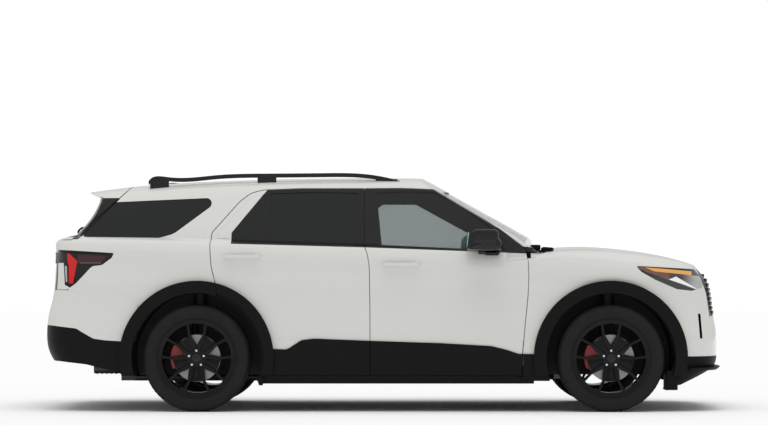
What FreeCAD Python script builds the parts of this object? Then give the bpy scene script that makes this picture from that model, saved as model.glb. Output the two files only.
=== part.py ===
"""Sport utility vehicle, five doors and three rows of seats.

Frame: +X forward, +Y to the car's left, +Z up, origin on the ground under the middle of the car.
All sizes are in millimetres.  The right half is modelled and mirrored to the left.
"""
import FreeCAD
import Part
import math
import os

from FreeCAD import Matrix, Vector

# Overall sizes
LENGTH = 5062
WHEELBASE = 3025
FRONT_OVERHANG = 871
TRACK = 1700
BODY_Y = 975
NOSE_X = LENGTH / 2
TAIL_X = -LENGTH / 2
FRONT_AXLE_X = NOSE_X - FRONT_OVERHANG
REAR_AXLE_X = FRONT_AXLE_X - WHEELBASE
WHEEL_Y = TRACK / 2

# Wheels and tyres
TYRE_RADIUS = 390.5
TYRE_WIDTH = 275
ARCH_Z = 393
ARCH_RADIUS = 474
FLARE_WIDTH = 90

# Gaps and walls
SHUT_GAP = 6.0
FIT = 0.3
FLANGE_DEPTH = 15
SEAL_DEPTH = 21
WALL_DEPTH = 58
FRAME_DEPTH = 48
HOOD_DEPTH = 28
GLASS_DEPTH = 4.5
CLADDING_OUT = 10
FLARE_OUT = 36


def blend_table(table, x):
    """Value at x from a short list of (x, value) pairs in order of x."""
    if x <= table[0][0]:
        return table[0][1]
    for (x0, v0), (x1, v1) in zip(table, table[1:]):
        if x <= x1:
            return v0 + (v1 - v0) * (x - x0) / (x1 - x0)
    return table[-1][1]


def even_knots(count):
    """Knots and multiplicities of a clamped cubic spline with evenly spaced knots."""
    inner = count - 4
    knots = [float(k) for k in range(inner + 2)]
    return knots, [4] + [1] * inner + [4]


def net_surface(net):
    """Cubic surface held by a net of poles, net[column][row]."""
    u_knots, u_mults = even_knots(len(net))
    v_knots, v_mults = even_knots(len(net[0]))
    surface = Part.BSplineSurface()
    surface.buildFromPolesMultsKnots(net, u_mults, v_mults, u_knots, v_knots, False, False, 3, 3)
    return surface


def solid_of(faces):
    """One solid sewn from faces that share their edges."""
    shell = Part.makeShell(faces)
    shell.sewShape()
    solid = Part.makeSolid(shell)
    if solid.Volume < 0:
        solid.reverse()
    return solid


def net_prism(net, reach):
    """Solid swept from a net's face along the vector reach."""
    solid = net_surface(net).toShape().extrude(reach)
    if solid.Volume < 0:
        solid.reverse()
    return solid


def rounded(points, place):
    """Closed wire through corners (a, b, radius); place(a, b) gives the point in space."""
    corners = [(Vector(p[0], p[1], 0), p[2] if len(p) > 2 else 0) for p in points]
    count = len(corners)
    trims = []
    for k, (p, radius) in enumerate(corners):
        back = corners[k - 1][0] - p
        ahead = corners[(k + 1) % count][0] - p
        half = back.getAngle(ahead) / 2
        if radius == 0 or abs(half - math.pi / 2) < 1e-3:
            trims.append((p, p, None))
            continue
        reach = min(radius / math.tan(half), back.Length * 0.49, ahead.Length * 0.49)
        first = p + back.normalize() * reach
        last = p + ahead.normalize() * reach
        size = reach * math.tan(half)
        inward = (back + ahead).normalize()
        middle = p + inward * (size / math.sin(half) - size)
        trims.append((first, last, middle))
    edges = []
    for k in range(count):
        first, last, middle = trims[k]
        following = trims[(k + 1) % count][0]
        if middle is not None:
            arc = Part.Arc(place(first.x, first.y), place(middle.x, middle.y), place(last.x, last.y))
            edges.append(arc.toShape())
        if last.distanceToPoint(following) > 1e-6:
            edges.append(Part.makeLine(place(last.x, last.y), place(following.x, following.y)))
    return Part.Wire(edges)


def grown(wire, grow):
    """The wire moved out by grow, or in where grow is negative."""
    if grow == 0:
        return wire
    return wire.makeOffset2D(grow, 2)


def side_prism(points, grow=0, y0=-1300, y1=0):
    """Outline in side view, given as (x, z, radius), swept from y0 to y1."""
    wire = grown(rounded(points, lambda a, b: Vector(a, y0, b)), grow)
    return Part.Face(wire).extrude(Vector(0, y1 - y0, 0))


def plan_prism(points, z0, z1, grow=0):
    """Outline in plan, given as (x, y, radius), swept from z0 to z1."""
    wire = grown(rounded(points, lambda a, b: Vector(a, b, z0)), grow)
    return Part.Face(wire).extrude(Vector(0, 0, z1 - z0))


def end_prism(points, x0, x1, grow=0):
    """Outline seen from an end, given as (y, z, radius), swept from x0 to x1."""
    wire = grown(rounded(points, lambda a, b: Vector(x0, a, b)), grow)
    return Part.Face(wire).extrude(Vector(x1 - x0, 0, 0))


def block(x0, x1, y0, y1, z0, z1):
    return Part.makeBox(x1 - x0, y1 - y0, z1 - z0, Vector(x0, y0, z0))


def across(x, z, radius, y0, y1):
    """Cylinder lying across the car."""
    return Part.makeCylinder(radius, y1 - y0, Vector(x, y0, z), Vector(0, 1, 0))


def mirrored(shape):
    return shape.mirror(Vector(0, 0, 0), Vector(0, 1, 0))


def both(shape):
    """The shape and its mirror image as two solids."""
    return Part.makeCompound(shape.Solids + mirrored(shape).Solids)


def joined(half):
    """One solid from a right half that ends on the middle plane."""
    return half.fuse(mirrored(half))


# Belt line and side crest of the lower body, as (x, z)
SHOULDER = [(TAIL_X, 1262), (-1690, 1250), (-140, 1208), (1026, 1164), (1400, 1160), (1900, 1105), (2250, 1062), (NOSE_X, 1050)]
CREST = [(TAIL_X, 1150), (-1100, 1138), (250, 1090), (1060, 1030), (1500, 1020), (2000, 985), (NOSE_X, 960)]

# Lower body in plan, from the rear centre round to the front centre:
# x, y, weight of the end profile, weight of the side profile
PLAN = [
    (TAIL_X, 0, 1, 0), (TAIL_X, 330, 1, 0), (TAIL_X + 15, 640, 1, 0.3), (TAIL_X + 91, 880, 0.8, 0.7),
    (TAIL_X + 341, BODY_Y - 17, 0.3, 1), (-1800, BODY_Y - 7, 0, 1), (-1365, BODY_Y, 0, 1), (-700, BODY_Y, 0, 1), (0, BODY_Y, 0, 1),
    (700, BODY_Y, 0, 1), (1250, BODY_Y, 0, 1), (1660, BODY_Y, 0, 1), (NOSE_X - 541, BODY_Y - 13, 0.2, 1),
    (NOSE_X - 291, 925, 0.4, 1), (NOSE_X - 91, 810, 0.8, 0.7), (NOSE_X - 19, 560, 1, 0.3), (NOSE_X, 270, 1, 0), (NOSE_X, 0, 1, 0),
]
# Rows of the lower body from the sill up: how far each is drawn in at the side, the front and the rear
SIDE_INSET = [60, 28, 18, 8, 8, 30, 36, 36, 8, 30, 48, 130, 320]
FRONT_INSET = [300, 70, 20, 22, 20, 56, 64, 70, 92, 150, 180, 200, 420]
REAR_INSET = [300, 130, 70, 8, 2, 14, 62, 68, 78, 62, 88, 200, 420]
WRAP_TOP = 1345
# How far the end poles stand outside the surface that they hold
NOSE_LEAD = -4.4
TAIL_LEAD = 4.8


def row_heights(x):
    """Heights of the lower body's rows at x: fixed low down, following crest and shoulder above."""
    crest = blend_table(CREST, x)
    shoulder = blend_table(SHOULDER, x)
    return [190, 285, 345, 450, 580, 720, 850, crest - 75, crest, shoulder - 28, shoulder + 8, shoulder + 32, WRAP_TOP]


def wrap_solid(depth):
    """Right half of the lower body, drawn in by depth."""
    net = []
    for k, (x, y, end, side) in enumerate(PLAN):
        ahead = PLAN[min(k + 1, len(PLAN) - 1)]
        behind = PLAN[max(k - 1, 0)]
        inward = Vector(ahead[1] - behind[1], ahead[0] - behind[0], 0).normalize()
        if y == 0:
            inward = Vector(-1 if x > 0 else 1, 0, 0)
        end_inset = FRONT_INSET if x > 0 else REAR_INSET
        lead = NOSE_LEAD if x > 0 else TAIL_LEAD
        column = []
        for row, z in enumerate(row_heights(x)):
            px = x - math.copysign(1, x) * end * (end_inset[row] - lead)
            py = -(y - side * SIDE_INSET[row] * min(1, y / 600))
            column.append(Vector(px, py, z) + inward * depth)
        net.append(column)
    surface = net_surface(net)
    u0, u1, v0, v1 = surface.bounds()
    rear, front = surface.uIso(u0), surface.uIso(u1)
    low, high = surface.vIso(v0), surface.vIso(v1)
    low_line = Part.makeLine(low.StartPoint, low.EndPoint)
    high_line = Part.makeLine(high.StartPoint, high.EndPoint)
    floor = Part.Face(Part.Wire([low.toShape(), low_line]))
    lid = Part.Face(Part.Wire([high.toShape(), high_line]))
    middle = Part.Face(Part.Wire(Part.__sortEdges__([rear.toShape(), high_line, front.toShape(), low_line])))
    return solid_of([surface.toShape(), floor, lid, middle])


# Roof height along the car and how much the upper body narrows, as (x, value)
ROOF = [(-2700, 1570), (-2350, 1610), (-2000, 1668), (-1500, 1705), (-1000, 1724), (-400, 1736), (100, 1738), (500, 1728),
        (900, 1700), (1300, 1660), (1700, 1640)]
TAPER = [(-2700, 0.83), (-2350, 0.90), (-2000, 0.95), (-1500, 0.985), (-1000, 1), (100, 1), (500, 0.995),
         (900, 0.985), (1300, 0.965), (1700, 0.94)]
EAVES_DROP = 78


def upper_column(x, roof, taper, inset):
    """Section of the upper body at x from below the belt to the middle of the roof."""
    eaves = roof - EAVES_DROP
    rows = [(-905, 1000), (-903, 1120), (-892, 1215)]
    for part, bulge in ((0.25, 6), (0.5, 10), (0.75, 8)):
        rows.append((-892 + 176 * part - bulge, 1215 + (eaves - 1215) * part))
    rows += [(-716, eaves), (-640, roof - 30), (-400, roof - 3), (-160, roof + 2), (0, roof + 2)]
    column = []
    for k, (y, z) in enumerate(rows):
        roofed = min(1, max(0, k - 5) / 3)
        column.append(Vector(x, (y + inset * (1 - roofed)) * taper if y else 0, z - inset * roofed))
    return column


def upper_solid(inset):
    """Right half of the upper body without its front and rear slopes, drawn in by inset."""
    net = [upper_column(x, blend_table(ROOF, x), blend_table(TAPER, x), inset) for x, _ in ROOF]
    surface = net_surface(net)
    u0, u1, v0, v1 = surface.bounds()
    rear, front = surface.uIso(u0), surface.uIso(u1)
    low, ridge = surface.vIso(v0), surface.vIso(v1)
    corners = [Vector(net[0][0].x, 0, 1000), Vector(net[-1][0].x, 0, 1000)]
    rear_low = Part.makeLine(corners[0], low.StartPoint)
    rear_up = Part.makeLine(corners[0], ridge.StartPoint)
    front_low = Part.makeLine(corners[1], low.EndPoint)
    front_up = Part.makeLine(corners[1], ridge.EndPoint)
    middle_low = Part.makeLine(corners[0], corners[1])
    ends = Part.Face(Part.Wire(Part.__sortEdges__([rear.toShape(), rear_low, rear_up])))
    nose = Part.Face(Part.Wire(Part.__sortEdges__([front.toShape(), front_low, front_up])))
    floor = Part.Face(Part.Wire(Part.__sortEdges__([low.toShape(), rear_low, front_low, middle_low])))
    middle = Part.Face(Part.Wire(Part.__sortEdges__([ridge.toShape(), rear_up, front_up, middle_low])))
    return solid_of([surface.toShape(), ends, nose, floor, middle])


# Slopes of the windshield and the rear glass at the middle of the car, as (x, z)
WINDSHIELD = [(250, 1760), (470, 1645), (720, 1504), (975, 1366), (1165, 1256), (1300, 1172), (1440, 1080), (1570, 990)]
REAR_GLASS = [(-2060, 1800), (-2110, 1690), (-2160, 1580), (-2215, 1455), (-2300, 1352), (-2385, 1268), (-2400, 1160), (-2405, 1000)]


def slope_net(profile, sweep, push):
    """Net of a sloping pane bowed back by sweep at its sides and moved along the car by push."""
    net = []
    for x, z in profile:
        column = []
        for y, part in ((-1000, 1.9), (-750, 1.0), (-450, 0.25), (-160, 0), (60, 0)):
            column.append(Vector(x + push + sweep * part, y, z))
        net.append(column)
    return net


def behind_windshield(push):
    return net_prism(slope_net(WINDSHIELD, -130, push), Vector(-6000, 0, 0))


def ahead_of_rear_glass(push):
    return net_prism(slope_net(REAR_GLASS, 95, push), Vector(6000, 0, 0))


# Hood and fender tops at the middle of the car, as (x, z)
HOOD = [
    (900, 1180), (1100, 1195), (1280, 1212), (1500, 1222), (1750, 1203), (2000, 1170), (NOSE_X - 331, 1126),
    (NOSE_X - 191, 1080), (NOSE_X - 71, 1020), (NOSE_X + 89, 890),
]


def hood_net(drop):
    """Net of the hood's top surface, lowered by drop."""
    net = []
    for x, z in HOOD:
        column = []
        for y, fall in ((-1100, 150), (-930, 62), (-780, 26), (-640, 26), (-400, 2), (-150, 0), (60, 0)):
            column.append(Vector(x, y, z - fall - drop))
        net.append(column)
    return net


def body_mass(depth):
    """Right half of the whole outer form, drawn in by depth."""
    lower = wrap_solid(depth).cut(net_prism(hood_net(depth), Vector(0, 0, 700)))
    upper = upper_solid(depth).common(behind_windshield(-depth)).common(ahead_of_rear_glass(depth))
    return lower.fuse(upper)


PIECES = {}

outer = body_mass(0)
flange_core = body_mass(FLANGE_DEPTH)
seal_core = body_mass(SEAL_DEPTH)
wall_core = wrap_solid(WALL_DEPTH)
upper_core = upper_solid(FRAME_DEPTH)
pillar_core = upper_solid(FRAME_DEPTH + 8).common(block(-3000, 3000, -1300, 100, 1140, 2000))

# Hollows of the right half
CABIN_Y = -868
FLOOR_Z = 290
FIREWALL_X = 1120
BAY_Y = -690
low_cabin = block(-2600, FIREWALL_X, CABIN_Y, 0, FLOOR_Z, 1130).common(wall_core)
high_cabin = upper_core.common(behind_windshield(-60)).common(ahead_of_rear_glass(60))
cabin = low_cabin.fuse(high_cabin)
bay = block(1150, 2700, BAY_Y, 0, 190, 1300).common(wall_core).cut(net_prism(hood_net(HOOD_DEPTH), Vector(0, 0, 700)))
front_well = across(FRONT_AXLE_X, ARCH_Z, ARCH_RADIUS, -1200, -480)
rear_well = across(REAR_AXLE_X, ARCH_Z, ARCH_RADIUS, -1200, -560)
wells = front_well.fuse(rear_well)
walls = outer.cut(cabin).cut(bay).cut(wells)

side_walls = walls.cut(block(-3000, 3000, CABIN_Y - FIT, 100, 100, 1130)).cut(upper_core)
# Door outlines in side view: x, z, corner radius
PILLAR_LINE = [(-142, 1640, 12), (-142, 1213, 200), (-118, 1150, 200), (-104, 1060, 300), (-99, 743, 600), (-98, 262, 12)]
FRONT_DOOR = [
    (1013, 262, 20), (1016, 444, 500), (1036, 651, 700), (1058, 860, 700), (1062, 1010, 300), (1057, 1110, 60),
    (1044, 1192, 12), (796, 1380, 1500), (590, 1530, 900), (400, 1632, 200), (130, 1642, 900),
] + PILLAR_LINE
REAR_DOOR = PILLAR_LINE[::-1] + [
    (-620, 1640, 900), (-890, 1630, 120), (-980, 1606, 160), (-1060, 1545, 250), (-1155, 1435, 500), (-1262, 1310, 30),
    (-1271, 1220, 100), (-1262, 1060, 400), (-1229, 933, 60), (-1216, 840, 60), (-1216, 262, 0),
]
DOOR_ARCH_RADIUS = ARCH_RADIUS + 10


def door_prism(outline, grow):
    """Door outline swept across the car, held off the rear wheel."""
    prism = side_prism(outline, grow)
    if outline is REAR_DOOR:
        prism = prism.cut(across(REAR_AXLE_X, ARCH_Z, DOOR_ARCH_RADIUS - grow, -1300, 0))
    return prism


def door_solid(outline):
    """Whole door as thick as the wall, with a thin flange round its edge."""
    slab = side_walls.common(door_prism(outline, -SHUT_GAP / 2))
    return slab.cut(flange_core.cut(door_prism(outline, -27)))


def door_opening(outline):
    """Space cut from the side frame for a door, with a step behind the door's flange."""
    return door_prism(outline, SHUT_GAP / 2).cut(seal_core).fuse(door_prism(outline, -12).cut(pillar_core))


# Window outlines in side view
FRONT_WINDOW = [
    (960, 1192, 30), (780, 1186, 900), (494, 1196, 900), (-78, 1222, 18), (-78, 1606, 25), (150, 1618, 900),
    (372, 1612, 120), (560, 1516, 900), (770, 1362, 1500),
]
REAR_WINDOW = [
    (-188, 1226, 18), (-188, 1606, 25), (-500, 1612, 900), (-838, 1604, 25), (-838, 1252, 18),
]
REAR_VENT = [
    (-872, 1253, 15), (-872, 1600, 25), (-945, 1592, 80), (-1015, 1540, 120), (-1100, 1440, 300), (-1222, 1302, 20), (-1222, 1266, 20),
]
QUARTER_WINDOW = [(-1185, 1574, 40), (-1544, 1302, 160), (-1650, 1272, 80), (-2240, 1280, 20), (-1990, 1540, 40)]

glass_outer = upper_solid(6).common(behind_windshield(-6)).common(ahead_of_rear_glass(6))
inner_face = 6 + GLASS_DEPTH
glass_inner = upper_solid(inner_face).common(behind_windshield(-inner_face)).common(ahead_of_rear_glass(inner_face))
glass_skin = glass_outer.cut(glass_inner)


def pane(outline):
    return glass_skin.common(side_prism(outline, -FIT, y1=-500))


front_door = door_solid(FRONT_DOOR).cut(side_prism(FRONT_WINDOW, y1=-500))
rear_door = door_solid(REAR_DOOR)
for outline in (REAR_WINDOW, REAR_VENT):
    rear_door = rear_door.cut(side_prism(outline, y1=-500))
PIECES["front_door"] = front_door
PIECES["rear_door"] = rear_door
PIECES["front_door_glass"] = pane(FRONT_WINDOW)
PIECES["rear_door_glass"] = Part.makeCompound(pane(REAR_WINDOW).Solids + pane(REAR_VENT).Solids)


# Liftgate: side line above the belt and end outline below it
GATE_BELT_Z = 1258
GATE_SIDE = [(-1868, 1800, 0), (-1880, 1648, 300), (-1977, 1555, 80), (-2297, GATE_BELT_Z, 8), (-2800, GATE_BELT_Z, 0), (-2800, 1800, 0)]
GATE_END = [(60, 1280, 0), (-790, 1280, 0), (-790, 1225, 30), (-735, 1120, 90), (-700, 900, 90), (-680, 705, 50), (60, 705, 0)]


def gate_prism(grow):
    side = side_prism(GATE_SIDE, grow, -1300, 60)
    end = end_prism(GATE_END, -2800, -2100, grow)
    end = end.cut(block(-2800, -2000, -1300, 100, GATE_BELT_Z + 20, 1400))
    return side.fuse(end.cut(block(-2300 + grow, -2000, -1300, -680 - grow, 600, 1400)))




def from_tail(points):
    """Outline whose first numbers are distances ahead of the tail."""
    return [(TAIL_X + p[0],) + p[1:] for p in points]


def from_nose(points):
    """Outline whose first numbers are distances behind the nose."""
    return [(NOSE_X - p[0],) + p[1:] for p in points]


TAIL_LAMP = from_tail([
    (-169, 1186, 0), (160, 1184, 60), (559, 1160, 8), (541, 1124, 20), (468, 1071, 60), (395, 1064, 60),
    (273, 937, 60), (206, 892, 30), (-169, 892, 0),
])
REAR_BUMPER = from_tail([
    (-169, 893, 0), (206, 888, 60), (301, 866, 60), (616, 856, 60), (731, 800, 0), (831, 640, 0), (667, 511, 0),
    (495, 522, 60), (409, 534, 60), (333, 576, 60), (280, 608, 60), (86, 629, 60), (-169, 634, 0),
])
REAR_TRIM = from_tail([
    (-169, 634, 0), (86, 629, 60), (280, 608, 60), (333, 576, 60), (409, 534, 60), (495, 522, 60), (667, 511, 0),
    (831, 511, 0), (831, 253, 0), (775, 253, 0), (667, 269, 60), (355, 345, 60), (151, 366, 60), (-169, 370, 0),
])
HEADLAMP = from_nose([
    (689, 1066, 8), (646, 1021, 60), (545, 964, 60), (382, 895, 60), (269, 883, 60), (179, 906, 20), (193, 977, 60), (241, 1042, 20),
])
HOOD_PLAN = [
    (1262, 60, 0), (1245, -330, 300), (1165, -735, 20), (1180, -762, 20), (1750, -752, 900),
] + from_nose([(411, -728, 600), (211, -690, 30), (159, -440, 300), (129, 60, 0)])
FRONT_BUMPER = from_nose([
    (511, 965, 0), (431, 760, 0), (381, 404, 0), (-169, 404, 0), (-169, 1200, 0), (251, 1200, 0), (251, 1030, 0), (381, 1000, 0),
])
GRILLE = [(60, 1004, 0), (-470, 1000, 40), (-600, 975, 50), (-640, 880, 60), (-560, 720, 60), (-480, 700, 40), (60, 696, 0)]
LOWER_SPLIT_Z = 404

hood_skin_top = net_prism(hood_net(HOOD_DEPTH), Vector(0, 0, 700))
hood_seat = net_prism(hood_net(HOOD_DEPTH + SHUT_GAP), Vector(0, 0, 700))

# Roof, hood and liftgate
ROOF_PLAN = [(600, 60, 0), (600, -650, 0), (-400, -668, 900), (-1200, -655, 900), (-1900, -620, 0), (-2000, -600, 0), (-2000, 60, 0)]
roof_prism = plan_prism(ROOF_PLAN, 1500, 1900)
gate_hole = gate_prism(SHUT_GAP / 2)
WINDSHIELD_OUTLINE = [(60, 1630, 0), (-560, 1618, 60), (-640, 1596, 50), (-700, 1500, 600), (-802, 1215, 40), (-760, 1130, 40), (60, 1080, 0)]
windshield_hole = end_prism(WINDSHIELD_OUTLINE, 250, 1600)
REAR_GLASS_OUTLINE = [(60, 1572, 0), (-540, 1560, 60), (-600, 1520, 60), (-660, 1330, 60), (-640, 1290, 40), (60, 1280, 0)]
upper_walls = walls.common(block(-2800, 1400, -1300, 100, 1100, 1900))
roof = upper_walls.common(roof_prism).cut(gate_hole).cut(windshield_hole)
roof = roof.common(block(-2800, 700, -1300, 0, 1590, 1900))
PIECES["roof"] = joined(roof)
hood = outer.common(hood_skin_top).common(plan_prism(HOOD_PLAN, 900, 1400, -SHUT_GAP / 2)).common(block(1100, 2600, -1000, 0, 900, 1400))
PIECES["hood"] = joined(hood)
hood_hole = plan_prism(HOOD_PLAN, 900, 1400, SHUT_GAP / 2).common(hood_seat)

gate = walls.common(gate_prism(-SHUT_GAP / 2)).common(block(-2800, -1800, -1300, 0, 600, 1900))
gate = gate.cut(end_prism(REAR_GLASS_OUTLINE, -2600, -1950))
SPOILER = from_tail([(511, 1800, 0), (361, 1668, 0), (325, 1626, 5), (331, 1612, 5), (400, 1580, 40), (511, 1576, 0)])
gate = gate.fuse(upper_solid(0).common(side_prism(SPOILER)).cut(ahead_of_rear_glass(60)))
GATE_LAMP = [(-480, 1168, 14), (-480, 1096, 14), (-716, 1084, 20), (-748, 1168, 14)]
LAMP_DEPTH = 20
LAMP_OUT = 6
lamp_skin = wrap_solid(-LAMP_OUT).cut(wrap_solid(LAMP_DEPTH))
gate_lamp = lamp_skin.common(end_prism(GATE_LAMP, -2800, -2200))
lamp_pocket = wrap_solid(-LAMP_OUT - 2).cut(wrap_solid(LAMP_DEPTH + FIT)).common(end_prism(GATE_LAMP, -2800, -2200, FIT))
PLATE_RECESS = [(60, 884, 0), (-262, 884, 14), (-268, 758, 14), (60, 758, 0)]
recess = wrap_solid(-5).cut(wrap_solid(14)).common(end_prism(PLATE_RECESS, -2800, -2200))
gate = gate.cut(lamp_pocket).cut(recess)
PIECES["liftgate"] = joined(gate)
PIECES["liftgate_lamps"] = both(gate_lamp)
rear_glass_skin = ahead_of_rear_glass(6).cut(ahead_of_rear_glass(12)).common(upper_core)
rear_glass = rear_glass_skin.common(end_prism(REAR_GLASS_OUTLINE, -2600, -1950, -FIT)).common(block(-2800, -1800, -1300, 0, 1200, 1900))
PIECES["liftgate_glass"] = joined(rear_glass)
windshield_skin = behind_windshield(-7).cut(behind_windshield(-15)).common(upper_solid(0))
windshield = windshield_skin.common(end_prism(WINDSHIELD_OUTLINE, 250, 1600, -FIT)).common(block(300, 1330, -1300, 0, 1150, 1900)).cut(outer.common(hood_seat).common(block(1100, 1400, -900, 10, 1000, 1300)))
windshield = max(windshield.Solids, key=lambda part: part.Volume)
PIECES["windshield"] = joined(windshield)
PIECES["quarter_glass"] = both(pane(QUARTER_WINDOW))

# Side frames with pillars, rear quarters and sills
frame = walls.common(block(-2800, 1300, -1300, CABIN_Y - FIT, 255, 1130).fuse(block(-2800, 1300, -1300, 0, 1130, 1900)))
frame = frame.cut(plan_prism(ROOF_PLAN, 1580, 1900, FIT)).cut(gate_hole).cut(windshield_hole)
frame = frame.cut(door_opening(FRONT_DOOR)).cut(door_opening(REAR_DOOR))
frame = frame.cut(side_prism(QUARTER_WINDOW, y1=-500))
frame = frame.cut(side_prism(TAIL_LAMP)).cut(side_prism(REAR_BUMPER, FIT)).cut(side_prism(REAR_TRIM, FIT))
FENDER = [(980, 100, 0), (980, 1100, 0), (1040, 1171, 0), (1225, 1171, 0), (1225, 1400, 0), (2700, 1400, 0), (2700, 100, 0)]
hinge_pillar = seal_core.common(block(960, 1080, -1000, CABIN_Y, 250, 1130))
frame = frame.cut(side_prism(FENDER, FIT).cut(hinge_pillar)).cut(block(-2400, -2100, -683, 100, 1100, 1400))
frame = frame.cut(block(1080 - FIT, 1300, -1300, CABIN_Y, 200, 1130))
frame = max(frame.Solids, key=lambda part: part.Volume)
PIECES["side_frames"] = both(frame)

nose = walls.common(block(980, 2800, -1300, 0, 190, 1400)).cut(hood_hole).cut(side_prism(HEADLAMP, y1=-645))
fender = nose.common(side_prism(FENDER)).cut(door_opening(FRONT_DOOR)).cut(side_prism(FRONT_BUMPER, FIT))
fender = fender.cut(block(900, 1080 + FIT, CABIN_Y - 60, 10, 100, 1400)).cut(block(900, 2800, -1300, 10, 100, 260))
fender = fender.cut(hinge_pillar).cut(windshield_hole)
fender = fender.cut(block(1960, 2800, -1300, 10, 100, LOWER_SPLIT_Z + FIT)).cut(block(1000, FIREWALL_X + FIT, CABIN_Y - FIT, 10, 100, 1400)).cut(block(1000, 2800, BAY_Y, 10, 100, 1400))
for x, y, z in ((2100, -708, 1070), (1240, -724, 1110)):
    buffer = Part.makeCylinder(14, 300, Vector(x, y, z), Vector(0, 0, 1))
    fender = fender.fuse(buffer.cut(net_prism(hood_net(28 + FIT), Vector(0, 0, 700))))
PIECES["front_fenders"] = both(fender)

bumper = nose.common(side_prism(FRONT_BUMPER)).cut(end_prism(GRILLE, 2200, 2800)).cut(block(2000, 2600, -1300, 10, 100, LOWER_SPLIT_Z))
AIR_SLIT = from_nose([(222, 710, 4), (206, 712, 4), (192, 537, 4), (210, 535, 4)])
bumper = bumper.cut(side_prism(AIR_SLIT).cut(wrap_solid(24)))
bumper = max(bumper.Solids, key=lambda part: part.Volume)
PIECES["front_bumper"] = joined(bumper)

# Grille: a plate with a raised net of six-sided cells
CELL_REACH = 41
CELL_RISE = 19
CELL_RIB = 10
CELL_FLOOR = 30
GRILLE_FRAME = 24


def cell(y, z):
    corners = [(y + CELL_REACH, z, 0), (y + CELL_REACH * 0.5, z + CELL_RISE, 0), (y - CELL_REACH * 0.5, z + CELL_RISE, 0),
               (y - CELL_REACH, z, 0), (y - CELL_REACH * 0.5, z - CELL_RISE, 0), (y + CELL_REACH * 0.5, z - CELL_RISE, 0)]
    return end_prism(corners, NOSE_X - 331, NOSE_X + 269)


grille_zone = end_prism(GRILLE, NOSE_X - 331, NOSE_X + 269, -2 * FIT).common(block(2200, 2800, -1300, 0, 600, 1100))
plate = wrap_solid(CELL_FLOOR).cut(wrap_solid(40)).common(grille_zone)
net = wrap_solid(6).cut(wrap_solid(CELL_FLOOR)).common(grille_zone)
column_pitch = CELL_REACH * 1.5 + CELL_RIB
row_pitch = CELL_RISE * 2 + CELL_RIB
cells = []
for column in range(10):
    for row in range(7):
        z = 726 + row * row_pitch + (row_pitch / 2 if column % 2 else 0)
        cells.append(cell(-column * column_pitch, z))
inner_zone = end_prism(GRILLE, NOSE_X - 331, NOSE_X + 269, -GRILLE_FRAME)
cells = [part for part in (each.common(inner_zone) for each in cells) if part.Volume > 1]
net = net.cut(Part.makeCompound(cells))
PIECES["grille"] = joined(plate.fuse(net))
front_trim = walls.common(block(1960, 2800, -1300, 0, 190, LOWER_SPLIT_Z - FIT)).cut(block(2000, 2160, -1300, 10, 100, 300))
LIP_OUT = 54
lip = wrap_solid(-LIP_OUT).cut(wrap_solid(10)).common(block(2240, 2800, -1300, 0, 300, 320))
deflector = side_prism([(2138, 398, 0), (2152, 398, 0), (2076, 156, 4), (2062, 156, 4)], y0=-900, y1=BAY_Y - 4)
INTAKE = [(60, 388, 0), (-520, 388, 20), (-490, 336, 20), (60, 336, 0)]
intake = wrap_solid(-5).cut(wrap_solid(26)).common(end_prism(INTAKE, 2300, 2800))
front_trim = front_trim.fuse(lip).fuse(deflector).cut(intake)
PIECES["front_trim"] = joined(front_trim)
headlamp = wrap_solid(0).common(side_prism(HEADLAMP, -FIT, y1=-645)).cut(wall_core).cut(hood_hole)
PIECES["headlamps"] = both(headlamp)

tail = walls.common(block(-2800, -1800, -1300, 0, 190, 1300)).cut(gate_hole)
rear_bumper = tail.common(side_prism(REAR_BUMPER, 0, -1300, 50)).cut(side_prism(TAIL_LAMP))
rear_bumper = rear_bumper.cut(block(-2800, -1700, -1300, 10, 893, 1300))
gate_buffer = Part.makeCylinder(12, 705 + SHUT_GAP / 2 - FIT - 690, Vector(TAIL_X + 43, -420, 690), Vector(0, 0, 1))
PIECES["rear_bumper"] = joined(rear_bumper.fuse(gate_buffer))
rear_trim = tail.common(side_prism(REAR_TRIM, -FIT, -1300, 50)).cut(block(-2176, -1600, CABIN_Y, 100, 100, 1000))
PIECES["rear_trim"] = joined(rear_trim)
tail_lamp = tail.common(side_prism(TAIL_LAMP, -FIT))
tail_lamp = tail_lamp.cut(wrap_solid(80))
PIECES["tail_lamps"] = both(tail_lamp)


# Black lower cladding and wheel arch mouldings
CLADDING = [
    (-1300, 150, 0), (-1300, 463, 0), (-890, 463, 0), (-706, 455, 60), (-598, 524, 60), (-506, 535, 60), (-106, 519, 300),
    (417, 502, 300), (785, 481, 200), (893, 455, 100), (985, 424, 80), (1400, 416, 0), (1400, 150, 0),
]
clad_skin = wrap_solid(-CLADDING_OUT).cut(wrap_solid(-FIT))
flare_skin = wrap_solid(-FLARE_OUT).cut(wrap_solid(-FIT))
clad_band = clad_skin.common(side_prism(CLADDING))


def arch_ring(axle_x, low, inset):
    ring = across(axle_x, ARCH_Z, ARCH_RADIUS + FLARE_WIDTH - inset, -1200, -700)
    ring = ring.cut(across(axle_x, ARCH_Z, ARCH_RADIUS + inset, -1300, 0))
    return ring.common(block(axle_x - 700, axle_x + 700, -1300, 0, low, 1100))


def mouldings(axle_x, low):
    return flare_skin.common(arch_ring(axle_x, low, 0))


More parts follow.
